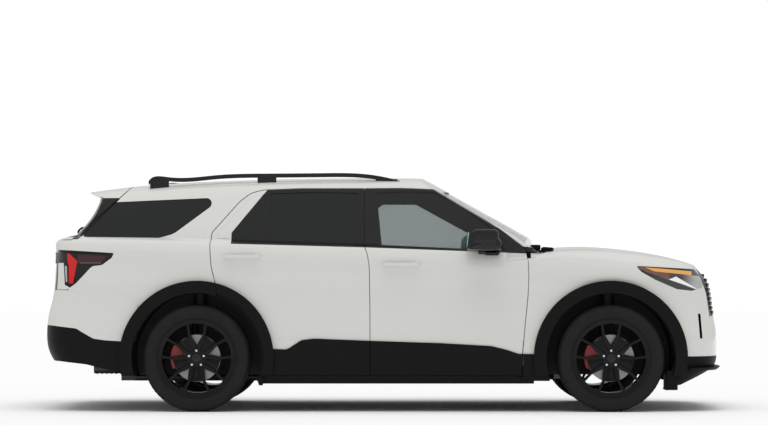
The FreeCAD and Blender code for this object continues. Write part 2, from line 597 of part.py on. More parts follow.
front_door_trim = clad_band.common(door_prism(FRONT_DOOR, -SHUT_GAP / 2))
rear_flare = mouldings(REAR_AXLE_X, 262)
rear_door_trim = clad_band.cut(arch_ring(REAR_AXLE_X, 200, 0)).fuse(rear_flare).common(door_prism(REAR_DOOR, -SHUT_GAP / 2))
front_lower = clad_band.common(block(1000, 1400, -1300, 0, 225, 700)).cut(door_prism(FRONT_DOOR, SHUT_GAP / 2))
front_lower = front_lower.cut(across(FRONT_AXLE_X, ARCH_Z, ARCH_RADIUS, -1300, 0)).cut(block(1000, 1019, -1300, 0, 200, 700))
front_flare = mouldings(FRONT_AXLE_X, 262).fuse(front_lower)
rear_fixed = rear_flare.cut(side_prism(REAR_DOOR, SHUT_GAP / 2))
sill = walls.common(block(-888, 1100, -1300, CABIN_Y - FIT, 205, 255 - FIT))
sill = sill.fuse(side_prism([(-872, 250, 0), (-930, 250, 0), (-908, 193, 4), (-884, 193, 4)], y0=-955, y1=-885))
PIECES["arch_mouldings"] = Part.makeCompound(both(front_flare).Solids + both(rear_fixed).Solids + both(sill).Solids)

# Door handles and mirrors
for x, z, door in ((128, 1077, "front"), (-1032, 1135, "rear")):
    bar = block(x - 128, x + 128, -992, -976, z - 13, z + 13)
    bar = bar.fuse(block(x - 128, x - 92, -992, -925, z - 13, z + 13)).fuse(block(x + 92, x + 128, -992, -925, z - 13, z + 13))
    if door == "front":
        front_door = front_door.fuse(bar)
    else:
        rear_door = rear_door.fuse(bar)
mirror_shell = block(640, 838, -1134, -935, 1212, 1330)
mirror_shell = mirror_shell.makeFillet(38, mirror_shell.Edges)
mirror_arm = block(745, 838, -990, -900, 1142, 1176).fuse(block(745, 838, -1010, -960, 1150, 1240))
mirror = mirror_shell.fuse(mirror_arm).cut(outer)

# Roof rails
RAIL = [(-1751, 1700), (-1730, 1722), (-1605, 1729), (-1250, 1743), (-892, 1755), (-468, 1758), (-111, 1748), (5, 1729), (119, 1700)]
rail_top = [Vector(x, -632, z) for x, z in RAIL]
rail_low = [Vector(x, -632, z - 30) for x, z in RAIL[::-1]]
top_curve = Part.BSplineCurve()
top_curve.interpolate(rail_top)
low_curve = Part.BSplineCurve()
low_curve.interpolate(rail_low)
rail_wire = Part.Wire([top_curve.toShape(), Part.makeLine(rail_top[-1], rail_low[0]), low_curve.toShape(), Part.makeLine(rail_low[-1], rail_top[0])])
rail = Part.Face(rail_wire).extrude(Vector(0, 34, 0))
for x0, x1 in ((-1740, -1600), (-940, -800), (-60, 100)):
    rail = rail.fuse(block(x0, x1, -630, -600, 1640, blend_table(RAIL, (x0 + x1) / 2) - 12))
rail = rail.cut(body_mass(-FIT))
rail = max(rail.Solids, key=lambda part: part.Volume)
PIECES["roof_rails"] = both(rail)

# Wheel, built round its own centre with the outer side towards -Y
def turned(profile):
    """Solid of revolution about the wheel's axle from (radius, y) corners."""
    wire = Part.makePolygon([Vector(r, y, 0) for r, y in profile + profile[:1]])
    return Part.Face(wire).revolve(Vector(0, 0, 0), Vector(0, 1, 0), 360)


def face_prism(points, y0, y1, angle):
    """Outline on the wheel's face, given as (radial, tangential, radius) and turned by angle from the top."""
    turn = math.radians(angle)
    def place(a, b):
        return Vector(a * math.sin(turn) + b * math.cos(turn), y0, a * math.cos(turn) - b * math.sin(turn))
    return Part.Face(rounded(points, place)).extrude(Vector(0, y1 - y0, 0))


tyre = turned([(268, -112), (288, -119), (300, -127), (330, -137), (352, -134), (374, -124), (386, -110), (TYRE_RADIUS, -92),
               (TYRE_RADIUS, 92), (386, 110), (374, 124), (352, 134), (330, 137), (300, 127), (288, 119), (268, 112)])
rim = turned([(252, -114), (262, -124), (280, -127), (287, -124), (287, -120.6), (276, -116.2), (267.7, -112.8), (267.7, 112.8), (276, 116.2), (287, 120.6),
              (287, 124), (276, 124), (258, 112), (252, 60)])
face = turned([(24.8, -112), (60, -112), (90, -108), (200, -118), (256, -122), (256, -97), (180, -94), (90, -88), (60, -66), (60, -44), (24.8, -44)])
BIG_WINDOW = [(94, 14, 8), (134, 70, 20), (244, 77, 14), (262, 0, 300), (244, -77, 14), (134, -70, 20), (94, -14, 8)]
SMALL_WINDOW = [(176, 5, 4), (248, 50, 10), (256, 0, 300), (248, -50, 10), (176, -5, 4)]
for k in range(5):
    face = face.cut(face_prism(BIG_WINDOW, -140, -62, 72 * k))
    face = face.cut(face_prism(SMALL_WINDOW, -140, -62, 72 * k + 36))
rim = rim.fuse(face).fuse(Part.makeCylinder(30, 14, Vector(0, -122, 0), Vector(0, 1, 0)))
for k in range(5):
    turn = math.radians(72 * k)
    rim = rim.fuse(Part.makeCylinder(10, 20, Vector(57.15 * math.sin(turn), -126, 57.15 * math.cos(turn)), Vector(0, 1, 0)))
disc = turned([(60.3, -52), (100, -52), (100, -62), (172, -62), (172, -40), (60.3, -40)])

# Knuckle and brake caliper round the wheel's centre
KINGPIN_Y = 30
knuckle = Part.makeCylinder(48, 60, Vector(0, -38, 0), Vector(0, 1, 0))
knuckle = knuckle.fuse(Part.makeCylinder(24, 72, Vector(0, -100, 0), Vector(0, 1, 0)))
knuckle = knuckle.fuse(Part.makeCylinder(28, 170.8, Vector(0, KINGPIN_Y, -78.4), Vector(0, 0, 1)))
knuckle = knuckle.cut(Part.makeCylinder(20, 40, Vector(0, 30, 0), Vector(0, 1, 0)))
caliper = Part.makeCylinder(192, 60, Vector(0, -78, 0), Vector(0, 1, 0)).cut(Part.makeCylinder(106, 80, Vector(0, -95, 0), Vector(0, 1, 0)))
caliper = caliper.cut(Part.makeCylinder(178, 34, Vector(0, -68, 0), Vector(0, 1, 0)))
caliper = caliper.common(block(-220, -70, -120, 20, -75, 95))
caliper = caliper.fuse(block(-150, -30, -30, -24.5, -30, 30)).fuse(block(-150, -40, -24.5, 10, -25, 25)).cut(Part.makeCylinder(48.3, 90, Vector(0, -60, 0), Vector(0, 1, 0)))

for end, x in (("front", FRONT_AXLE_X), ("rear", REAR_AXLE_X)):
    for side in ("right", "left"):
        for name, shape in (("tyre", tyre), ("rim", rim), ("brake_disc", disc)):
            placed = shape.translated(Vector(x, -WHEEL_Y, TYRE_RADIUS))
            PIECES[end + "_" + name + "_" + side] = placed if side == "right" else mirrored(placed)
for side in ("right", "left"):
    for name, shape in (("knuckle", knuckle), ("caliper", caliper)):
        placed = shape.translated(Vector(FRONT_AXLE_X, -WHEEL_Y, TYRE_RADIUS))
        PIECES["front_" + name + "_" + side] = placed if side == "right" else mirrored(placed)
rear_knuckle = knuckle.translated(Vector(REAR_AXLE_X, -WHEEL_Y, TYRE_RADIUS))
PIECES["rear_calipers"] = both(caliper.translated(Vector(REAR_AXLE_X, -WHEEL_Y, TYRE_RADIUS)))

# Floor, wheel housings, firewall and chassis rails
UNDERSIDE_Z = 258
STEP_X = -1010
JACK_PAD_Z = 228
floor = block(STEP_X, FIREWALL_X, CABIN_Y, 0, UNDERSIDE_Z, FLOOR_Z).fuse(block(STEP_X, STEP_X + 30, CABIN_Y, 0, UNDERSIDE_Z, 510))
floor = floor.fuse(block(-2600, STEP_X, CABIN_Y, 0, 480, 510).common(wrap_solid(60)).cut(gate_prism(70)))
floor = floor.fuse(block(FIREWALL_X, 1150, BAY_Y + FIT, 0, UNDERSIDE_Z, 1125)).fuse(block(1120, 1400, BAY_Y + FIT, 0, 1100, 1125))
for axle_x, inner_y, outer_y in ((REAR_AXLE_X, -560, CABIN_Y), (FRONT_AXLE_X, -480, BAY_Y + FIT)):
    tub = across(axle_x, ARCH_Z, ARCH_RADIUS + 14, outer_y, inner_y + 14)
    tub = tub.common(block(axle_x - 600, axle_x + 600, -1300, 0, UNDERSIDE_Z, 1100))
    floor = floor.fuse(tub)
floor = floor.fuse(block(1150, 2330, -470, -400, 300, 420)).fuse(block(2300, 2330, BAY_Y + 60, 0, 310, 900))
for x in (-760, 880):
    floor = floor.fuse(block(x - 45, x + 45, -860, -800, JACK_PAD_Z, UNDERSIDE_Z + 1))
floor = floor.cut(wells).cut(across(FRONT_AXLE_X, TYRE_RADIUS, 40, -700, -380))
floor = floor.cut(across(REAR_AXLE_X, TYRE_RADIUS, 40, -700, -440))
PIECES["underbody"] = joined(floor)
cowl = behind_windshield(60).cut(behind_windshield(-6.7)).common(block(1000, 1400, BAY_Y + FIT, 0, 1125 + FIT, 1300))
cowl = cowl.common(outer).cut(net_prism(hood_net(34), Vector(0, 0, 700)))
PIECES["cowl"] = joined(cowl)


def arm_set(axle_x, inner_y):
    """Wishbones, spring and damper of one right-hand wheel."""
    lower = block(axle_x - 30, axle_x + 30, -810, inner_y - FIT, TYRE_RADIUS - 110, TYRE_RADIUS - 79)
    lower = lower.fuse(block(axle_x - 150, axle_x + 150, inner_y - 60, inner_y - FIT, TYRE_RADIUS - 110, TYRE_RADIUS - 79))
    upper = block(axle_x - 24, axle_x + 24, -810, -700, TYRE_RADIUS + 93, TYRE_RADIUS + 115)
    upper = upper.fuse(block(axle_x - 80, axle_x + 80, -720, -700, TYRE_RADIUS + 93, TYRE_RADIUS + 115))
    for x in (-80, 55):
        upper = upper.fuse(block(axle_x + x, axle_x + x + 25, -720, inner_y - FIT, TYRE_RADIUS + 93, TYRE_RADIUS + 115))
    damper = Part.makeCylinder(26, 640 - TYRE_RADIUS + 79, Vector(axle_x, -620, TYRE_RADIUS - 80), Vector(0, 0, 1))
    damper = damper.cut(block(axle_x - 50, axle_x + 50, -700, -560, TYRE_RADIUS - 20, TYRE_RADIUS + 20))
    spring = Part.makeCylinder(48, 230, Vector(axle_x, -620, 628), Vector(0, 0, 1))
    return lower.fuse(upper).fuse(spring).fuse(Part.makeCylinder(20, 330, Vector(axle_x - 40, -620, TYRE_RADIUS - 80), Vector(0, 0, 1)))


front_arms = arm_set(FRONT_AXLE_X, -480)
rear_arms = arm_set(REAR_AXLE_X, -560)
PIECES["front_suspension"] = both(front_arms)
PIECES["rear_suspension"] = Part.makeCompound(both(rear_arms).Solids + both(rear_knuckle).Solids)

# Engine, drive line and exhaust
engine = block(1330, 1880, -330, 330, 430, 960).fuse(block(1290, 1420, -150, 150, 215, 430)).fuse(block(1560, 1760, -300, 300, 300, 430))
engine = engine.fuse(block(1480, 1560, -440, 440, 420 + FIT, 470))
PIECES["engine_block"] = engine
shaft = Part.makeCylinder(26, 1290 + 1250, Vector(-1250, 0, 229), Vector(1, 0, 0))
rear_drive = block(-1470, -1250, -130, 130, 203, 450)
PIECES["drive_shafts"] = Part.makeCompound([shaft.fuse(rear_drive).fuse(across(REAR_AXLE_X, TYRE_RADIUS, 17, -770, 770))] + both(across(FRONT_AXLE_X, TYRE_RADIUS, 17, -770, -300 - FIT)).Solids)


def box_with_round_sides(x0, x1, half_width, z0, z1, radius):
    shape = block(x0, x1, -half_width, half_width, z0, z1)
    long_edges = [e for e in shape.Edges if abs(e.CenterOfMass.x - (x0 + x1) / 2) < 1]
    return shape.makeFillet(radius, long_edges)


muffler = box_with_round_sides(-2180, -1960, 420, 262, 345, 36)
for k in range(6):
    muffler = muffler.fuse(box_with_round_sides(-2166 + 36 * k, -2154 + 36 * k, 424, 258, 349, 40))
pipe = Part.makeCylinder(27, 3150, Vector(-1900, -230, 229), Vector(1, 0, 0)).fuse(block(-1990, -1880, -258, -202, 204, 320))
hangers = block(-2090, -2070, -330, -310, 300, 480 - FIT).fuse(block(-2090, -2070, 310, 330, 300, 480 - FIT))
PIECES["exhaust"] = muffler.fuse(pipe).fuse(hangers)

# Cabin
def cushion(x0, x1, y0, y1, z0, z1, radius=35):
    shape = block(x0, x1, y0, y1, z0, z1)
    return shape.makeFillet(radius, shape.Edges)


def seat(x, y, width, low, high, lean, ground=FLOOR_Z):
    """Seat with its hip point near x, from the floor to the head restraint."""
    half = width / 2
    base = cushion(x - 60, x + 440, y - half, y + half, low, low + 150, 45)
    back = cushion(x - 110, x + 10, y - half, y + half, low + 60, high, 45)
    rest = cushion(x - 100, x - 20, y - 130, y + 130, high + 30, high + 200, 35)
    posts = block(x - 66, x - 54, y - 60, y - 48, high - 30, high + 60).fuse(block(x - 66, x - 54, y + 48, y + 60, high - 30, high + 60))
    back = back.fuse(rest).fuse(posts)
    back.rotate(Vector(x - 50, y, low + 100), Vector(0, 1, 0), -lean)
    stand = block(x, x + 380, y - half + 60, y + half - 60, ground + FIT, low + 20)
    return base.fuse(back).fuse(stand)


front_seat = seat(-20, -390, 520, 480, 1150, 20)
PIECES["front_seats"] = both(front_seat)
second = seat(-780, -370, 540, 480, 1150, 22)
third = seat(-1700, -270, 480, 540, 1110, 18, 510)
PIECES["rear_seats"] = Part.makeCompound(both(second).Solids + both(third).Solids)
dash_side = [(1118, 760, 0), (1118, 1098, 0), (1060, 1128, 30), (840, 1112, 60), (740, 1060, 40), (730, 960, 40), (820, 780, 60)]
PIECES["dashboard"] = joined(side_prism(dash_side, y0=-855, y1=0).fuse(block(-100, 760, -120, 0, FLOOR_Z + FIT, 700)).fuse(block(700, 1118, -120, 0, FLOOR_Z + FIT, 800)))
wheel_centre = Vector(585, 370, 1130)
lean = Vector(-math.cos(math.radians(25)), 0, math.sin(math.radians(25)))
rim_ring = Part.makeTorus(182, 16, wheel_centre, lean)
column = Part.makeCylinder(26, 230, wheel_centre - lean * 220, lean)
hub = Part.makeCylinder(55, 40, wheel_centre - lean * 20, lean)
spoke = Part.makeBox(20, 340, 26, Vector(-10, -170, -13))
spoke.rotate(Vector(0, 0, 0), Vector(0, 1, 0), 25)
steering = rim_ring.fuse(column).fuse(hub).fuse(spoke.translated(wheel_centre)).cut(PIECES["dashboard"])
steering = max(steering.Solids, key=lambda part: part.Volume)
PIECES["steering_wheel"] = steering

sided = {
    "front_door": front_door, "rear_door": rear_door, "front_door_glass": PIECES.pop("front_door_glass"),
    "rear_door_glass": PIECES.pop("rear_door_glass"), "front_door_trim": front_door_trim, "rear_door_trim": rear_door_trim,
    "mirror": mirror,
}
PIECES.pop("front_door")
PIECES.pop("rear_door")
for name, shape in sided.items():
    PIECES[name + "_right"] = shape
    PIECES[name + "_left"] = mirrored(shape)

if __name__ == "__main__":
    os.makedirs("parts", exist_ok=True)
    for name, shape in PIECES.items():
        shape.exportStep("parts/" + name + ".step")
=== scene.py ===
"""Finishes, small fittings, seat covers and studio for the five-door sport utility vehicle."""
import bmesh
import bpy
from collections import namedtuple
from functools import partialmethod
from math import atan, atan2, cos, exp, hypot, pi, radians, sin, tau
from mathutils import Matrix, Vector
from mathutils.bvhtree import BVHTree


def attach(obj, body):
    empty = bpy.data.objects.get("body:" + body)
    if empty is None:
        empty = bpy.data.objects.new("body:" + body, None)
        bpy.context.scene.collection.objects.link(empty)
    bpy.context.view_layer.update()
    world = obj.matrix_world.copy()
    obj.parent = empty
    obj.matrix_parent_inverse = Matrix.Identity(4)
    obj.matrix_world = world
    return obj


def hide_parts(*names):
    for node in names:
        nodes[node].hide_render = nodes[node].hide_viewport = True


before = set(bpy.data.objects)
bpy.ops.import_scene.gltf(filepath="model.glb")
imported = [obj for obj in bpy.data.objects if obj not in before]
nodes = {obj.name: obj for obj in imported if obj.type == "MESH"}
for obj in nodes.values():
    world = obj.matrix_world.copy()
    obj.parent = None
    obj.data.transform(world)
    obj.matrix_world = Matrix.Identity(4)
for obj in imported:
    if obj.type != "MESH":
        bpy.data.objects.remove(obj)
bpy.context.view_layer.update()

# Lengths are in metres, angles in radians unless a name says degrees
ENDS = ("front", "rear")
SIDES = ("right", "left")
PLACES = [(end, side) for end in ENDS for side in SIDES]
SIGN = {"right": -1, "left": 1}
AXLE_X = {"front": 1.66, "rear": -1.365}
WHEEL_Y = 0.85
TYRE_RADIUS = 0.3905
ORIGIN = Vector((0, 0, 0))

# Front edge of the rear door's body-coloured corner: its slope, its height at x = 0 and where it turns down
CORNER_SLOPE = 1.251
CORNER_HEIGHT = 2.707
CORNER_X = -1.118

# Where painted panels turn into dark lining: round the axles and under the cladding; where they face along the car
# they are painted black as painted shade in the shut gaps
WELL_RADIUS = 0.5
DOOR_WELL_RADIUS = 0.487
BUMPER_WELL_RADIUS = 0.51
SHUT_SHADE_TURN = 0.3
SILL_TOP = 0.52
# Height where the grille is widest
GRILLE_MIDDLE_Z = 0.86

WHITE = (0.688, 0.691, 0.66)
BLACK_GLOSS = (0.006, 0.006, 0.007)
# Rough black of the lining, also used for the painted shade on shut faces
LINING_AND_SHADE_BLACK = (0.004, 0.004, 0.004)

Parts = namedtuple("Parts", "x y z")


class Value:
    """A shader value that reads as arithmetic."""

    def __init__(self, finish, socket):
        self.finish = finish
        self.socket = socket

    def maths(self, operation, *others):
        inputs = dict(enumerate((self, *others)))
        return self.finish.node("ShaderNodeMath", {"operation": operation}, inputs)

    __add__ = __radd__ = partialmethod(maths, "ADD")
    __sub__ = partialmethod(maths, "SUBTRACT")
    __mul__ = __rmul__ = partialmethod(maths, "MULTIPLY")
    __gt__ = partialmethod(maths, "GREATER_THAN")
    __lt__ = partialmethod(maths, "LESS_THAN")
    smaller = partialmethod(maths, "MINIMUM")
    larger = partialmethod(maths, "MAXIMUM")
    size = partialmethod(maths, "ABSOLUTE")
    wave = partialmethod(maths, "SINE")

    def __rsub__(self, other):
        return self * -1 + other

    def between(self, low, high):
        """1 between low and high, 0 elsewhere."""
        return (self > low) * (self < high)

    def line(self, point, slope):
        """Straight line over this value, through a point of (value, height)."""
        return (self - point[0]) * slope + point[1]

    def blend(self, low, high):
        """Goes smoothly from 0 at low to 1 at high."""
        inputs = {"Value": self, "From Min": low, "From Max": high}
        return self.finish.node("ShaderNodeMapRange", {"interpolation_type": "SMOOTHSTEP"}, inputs)


class Finish:
    """One procedural material with a principled surface."""

    def __init__(self, name, **constants):
        self.material = bpy.data.materials.new(name)
        self.material.use_nodes = True
        self.tree = self.material.node_tree
        self.surface = self.tree.nodes["Principled BSDF"]
        for socket, value in constants.items():
            self.set(socket.replace("_", " "), value)

    def feed(self, socket, value):
        if isinstance(value, Value):
            self.tree.links.new(value.socket, socket)
        else:
            socket.default_value = value

    def set(self, socket, value):
        self.feed(self.surface.inputs[socket], value)

    def node(self, kind, settings=None, inputs=None, output=0):
        made = self.tree.nodes.new(kind)
        for key, value in (settings or {}).items():
            setattr(made, key, value)
        for key, value in (inputs or {}).items():
            self.feed(made.inputs[key], value)
        return Value(self, made.outputs[output])

    def parts(self, vector):
        made = self.tree.nodes.new("ShaderNodeSeparateXYZ")
        self.feed(made.inputs[0], vector)
        return Parts(*[Value(self, socket) for socket in made.outputs])

    def place(self):
        return self.node("ShaderNodeTexCoord", output="Object")

    def split(self):
        """The place along the car, across it and up."""
        return self.parts(self.place())

    def facing(self):
        """How far the surface turns forward, to the left and up, each from -1 to 1."""
        return self.parts(self.node("ShaderNodeTexCoord", output="Normal"))

    def noise(self, scale, detail=3.0, roughness=0.5):
        inputs = {"Vector": self.place(), "Scale": scale, "Detail": detail, "Roughness": roughness}
        return self.node("ShaderNodeTexNoise", None, inputs)

    def colour(self, amount, first, second):
        """Colour that goes from first to second with amount."""
        first, second = [c if isinstance(c, Value) else (*c, 1.0) for c in (first, second)]
        inputs = {"Factor": amount, 6: first, 7: second}
        return self.node("ShaderNodeMix", {"data_type": "RGBA"}, inputs, output=2)

    def paint(self, amount, first, second, roughness):
        """Gives the surface a roughness and a colour that goes from first to second with amount."""
        self.set("Base Color", self.colour(amount, first, second))
        self.set("Roughness", roughness)

    def bump(self, height, strength, distance):
        inputs = {"Height": height, "Strength": strength, "Distance": distance}
        self.set("Normal", self.node("ShaderNodeBump", None, inputs))


def shade(colour, factor):
    """The colour, darker or lighter by a factor."""
    return tuple(c * factor for c in colour)


def belt_line(x):
    """Height of the belt at x."""
    return (1.2027 - 0.0377 * x).smaller(1.2042 - 0.0271 * x)


def wheel_distance(p, end):
    """Distance from an axle, seen from the side."""
    dx = p.x - AXLE_X[end]
    dz = p.z - TYRE_RADIUS
    return (dx * dx + dz * dz).maths("POWER", 0.5)


# Parts of panels that are not white, some of them painted shade. Each takes the place p and the way n that the surface
# faces


def door_dark(p, n):
    """Window frame above the belt, up to the rear door's body-coloured corner."""
    corner = (p.z > p.x * CORNER_SLOPE + CORNER_HEIGHT).larger(p.x < CORNER_X)
    return (p.z > belt_line(p.x) - 0.007) * (1 - corner)


def door_lining_and_shade(p, n):
    """Inner skin, wheel well and the edge under the cladding, with painted shade on the shut faces."""
    skin = (p.y.size() < 0.9 - (p.x - 0.7).larger(0.0) * 0.25) * (p.z < belt_line(p.x))
    ledge_or_handle = (p.z > 1.03) * p.x.between(0.8, 0.98).larger(p.y.size() > 0.957)
    # Shut faces painted black as painted shade in the gaps, except on the window ledge step and the handle ends
    shut_face_shade = (n.y.size() < SHUT_SHADE_TURN) * (p.z < 1.15) * (1 - ledge_or_handle)
    return skin.larger(shut_face_shade).larger(wheel_distance(p, "rear") < DOOR_WELL_RADIUS).larger(p.z < 0.31)


def side_frame_dark(p, n):
    """Trim behind the quarter glass, the pillar between the doors and the foot of the front pillar."""
    behind = p.z.between(1.262, 1.565) * (p.x < p.z * 0.9615 - 3.4607)
    pillar = p.x.between(-0.2, -0.08) * (p.z > belt_line(p.x) - 0.02) * (p.z < 1.63)
    foot = p.x.between(0.98, 1.2) * p.z.between(1.157, 1.207)
    return (behind + pillar + foot).smaller(1.0)


def side_frame_lining_and_shade(p, n):
    """Painted shade on the shut faces of the doorways; lining on the side that faces the cabin, the sill and the rear
    wheel well.
    """
    front_pillar = (p.x > 0.55) * (p.z > 1.2)
    # Shut faces painted black as painted shade in the door gaps
    shut_face_shade = (n.y.size() < SHUT_SHADE_TURN) * p.x.between(-1.35, 1.1) * (p.z < 1.62) * (1 - front_pillar)
    lining = (p.y * n.y < -0.05) * (p.z > 0.3)
    sill = (p.y.size() < 0.958) * p.x.between(-1.2, 1.06) * (p.z < SILL_TOP)
    well = (wheel_distance(p, "rear") < WELL_RADIUS) * (p.z < 1.0)
    return well.larger(shut_face_shade).larger(sill).larger(lining)


def fender_dark(p, n):
    """Rear upper corner, at the foot of the front pillar."""
    return (p.x < 1.25) * (p.z > 1.157 + (p.x - 1.17).larger(0.0) * 0.45)


def fender_lining_and_shade(p, n):
    """Wheel well, the side that faces the engine and the edge under the cladding, and painted shade on the shut face.
    """
    engine_side = (p.y.size() < 0.8) * (p.z < 1.0)
    # Shut face painted black as painted shade in the gap to the door
    shut_face_shade = (n.y.size() < SHUT_SHADE_TURN) * (p.z < 1.0)
    sill = (p.y.size() < 0.955) * (p.z < SILL_TOP)
    behind_wheel = shut_face_shade.larger(sill) * (p.x < 1.06)
    return front_well(p, n).larger(engine_side).larger(behind_wheel)


def front_well(p, n):
    """Wheel well."""
    return wheel_distance(p, "front") < WELL_RADIUS


def hood_dark(p, n):
    """Strip along the rear edge, over the cowl."""
    return p.x < 1.245


def under_lining(p, n):
    """The side that faces down."""
    return n.z < -0.2


def bumper_dark(p, n):
    """Painted shade in the air slit behind each corner, and the black surround of the grille."""
    above = (p.z - GRILLE_MIDDLE_Z).larger(0.0)
    below = (GRILLE_MIDDLE_Z - p.z).larger(0.0)
    wide = p.y.size()
    slit_front = 2.328 + (0.712 - p.z) * 0.0686
    # The slit's dark, laid on the bumper's outer surface too, is painted shade
    slit = p.z.between(0.533, 0.716) * p.x.between(slit_front - 0.02, slit_front) * (wide > 0.5)
    surround = p.z.between(0.704, 1.02) * (p.x > 2.2) * (wide < 0.722 - (above + below) * 0.25)
    edge = p.z.between(0.695, 1.05) * (p.x > 2.38 - above * 0.4 + below * 0.15)
    return slit.larger(surround).larger(edge)


def rear_bumper_liner(p, n):
    """Wheel well and the sides that face the cargo space."""
    inside = (n.x > 0.3).larger(p.y * n.y < -0.2)
    return inside.larger(wheel_distance(p, "rear") < BUMPER_WELL_RADIUS)


def gate_dark(p, n):
    """Band round the rear window, and painted shade on the underside of the spoiler."""
    return p.z.between(1.279, 1.572).larger((p.z > 1.55) * (n.z < -0.25))


def gate_liner(p, n):
    """The side that faces the cabin."""
    return n.x > 0.25


def body_paint(name, lining_and_shade, dark=None):
    """White paint under clear coat; one mask says where the panel is rough black, the other where it is gloss black;
    besides real lining and trim, these masks carry painted shade on shut faces, under the spoiler and in the bumper's
    air slits.
    """
    finish = Finish(name, Coat_Roughness=0.04, IOR=1.5)
    p = finish.split()
    n = finish.facing()
    rough = lining_and_shade(p, n)
    gloss = dark(p, n) if dark else 0.0
    paint = finish.colour(finish.noise(3.0, 2.0), shade(WHITE, 0.985), WHITE)
    trimmed = finish.colour(gloss, paint, BLACK_GLOSS)
    # Black from the masks, part real lining and trim, part painted shade
    finish.paint(rough, trimmed, LINING_AND_SHADE_BLACK, 0.38 - gloss * 0.15 + rough * 0.45 + finish.noise(5.0) * 0.04)
    finish.set("Coat Weight", 1.0 - (gloss + rough).smaller(1.0))
    finish.bump(finish.noise(420.0, 1.0), 0.04, 0.0004)
    return finish.material


def plain_plastic(name, colour, roughness, grain, depth):
    """Dull plastic with a moulded grain."""
    finish = Finish(name, IOR=1.45, Specular_IOR_Level=0.1)
    speck = finish.noise(grain, 4.0, 0.6)
    finish.paint(speck, shade(colour, 0.8), shade(colour, 1.25), roughness - 0.06 + speck * 0.12)
    finish.bump(speck, 0.3, depth)
    return finish.material


def gloss_plastic(name, colour=BLACK_GLOSS, shine=0.35):
    """Smooth plastic with a slight haze."""
    finish = Finish(name, Specular_IOR_Level=shine, IOR=1.5)
    haze = finish.noise(6.0)
    finish.paint(haze, colour, tuple(c * 1.6 + 0.001 for c in colour), 0.16 + haze * 0.08)
    return finish.material


def tinted_glass(name, colour, alpha):
    """Pane that hides the share alpha of what is behind it, with a faint cloudy film."""
    finish = Finish(name, IOR=1.5)
    film = finish.noise(4.0)
    finish.paint(film, colour, shade(colour, 1.15), 0.02 + film * 0.02)
    finish.set("Alpha", alpha)
    return finish.material


def door_glass(name):
    """Light green pane, painted near-black near its top, its front slope and its rear edge: painted shade standing in
    for the dark cabin and pillars seen through it, set differently on the far side.
    """
    finish = Finish(name, IOR=1.5)
    x, y, z = finish.split()
    film = finish.noise(4.0)
    far = (y > 0.0) * 0.062
    top = far + 1.518
    front_slope = top - (x - 0.2365) * 0.554
    rear_edge = (1.518 - z) * 0.1 - 0.043 - far * 0.6
    rear_corner = top + (x + 0.006) * 0.8 + far * 0.5
    # clear is where the pane stays light; elsewhere it is painted near-black and nearly opaque as painted shade
    clear = (z < top) * (z < front_slope) * (x > rear_edge) * (z < rear_corner)
    tint = finish.colour(film, (0.072, 0.146, 0.131), (0.08, 0.16, 0.144))
    finish.paint(clear, (0.008, 0.008, 0.008), tint, 0.02 + film * 0.02)
    finish.set("Alpha", 0.98 - clear * 0.62)
    return finish.material


def tyre_rubber(name):
    """Dull rubber with a fine grain and a dusty tint."""
    finish = Finish(name, IOR=1.45, Specular_IOR_Level=0.2)
    dust = finish.noise(14.0, 4.0)
    grain = finish.noise(260.0)
    finish.paint(dust, (0.011, 0.011, 0.0115), (0.019, 0.019, 0.0186), 0.58 + grain * 0.2)
    finish.bump(grain, 0.25, 0.0006)
    return finish.material


def grained_metal(name, colour, roughness, metallic=1.0):
    """Bare or painted metal with a cast grain."""
    finish = Finish(name, Metallic=metallic, IOR=1.6)
    grain = finish.noise(90.0, 4.0)
    finish.paint(grain, shade(colour, 0.85), colour, roughness + grain * 0.15)
    finish.bump(grain, 0.1, 0.0005)
    return finish.material


def brake_disc_steel(name, end):
    """Steel with fine turned rings round the axle."""
    finish = Finish(name, Metallic=1.0, IOR=2.0)
    rings = (wheel_distance(finish.split(), end) * 2400.0).wave() * 0.5 + 0.5
    finish.paint(rings, (0.22, 0.22, 0.225), (0.32, 0.32, 0.325), 0.3 + rings * 0.1)
    return finish.material


def leather(name, colour):
    """Leather with small raised cells and a patchy tone."""
    finish = Finish(name, IOR=1.45)
    inputs = {"Vector": finish.place(), "Scale": 260.0}
    cells = finish.node("ShaderNodeTexVoronoi", {"feature": "DISTANCE_TO_EDGE"}, inputs)
    patch = finish.noise(8.0)
    finish.paint(patch, shade(colour, 0.8), shade(colour, 1.2), 0.5 + patch * 0.15)
    finish.bump(cells.smaller(0.08), 0.4, 0.001)
    return finish.material


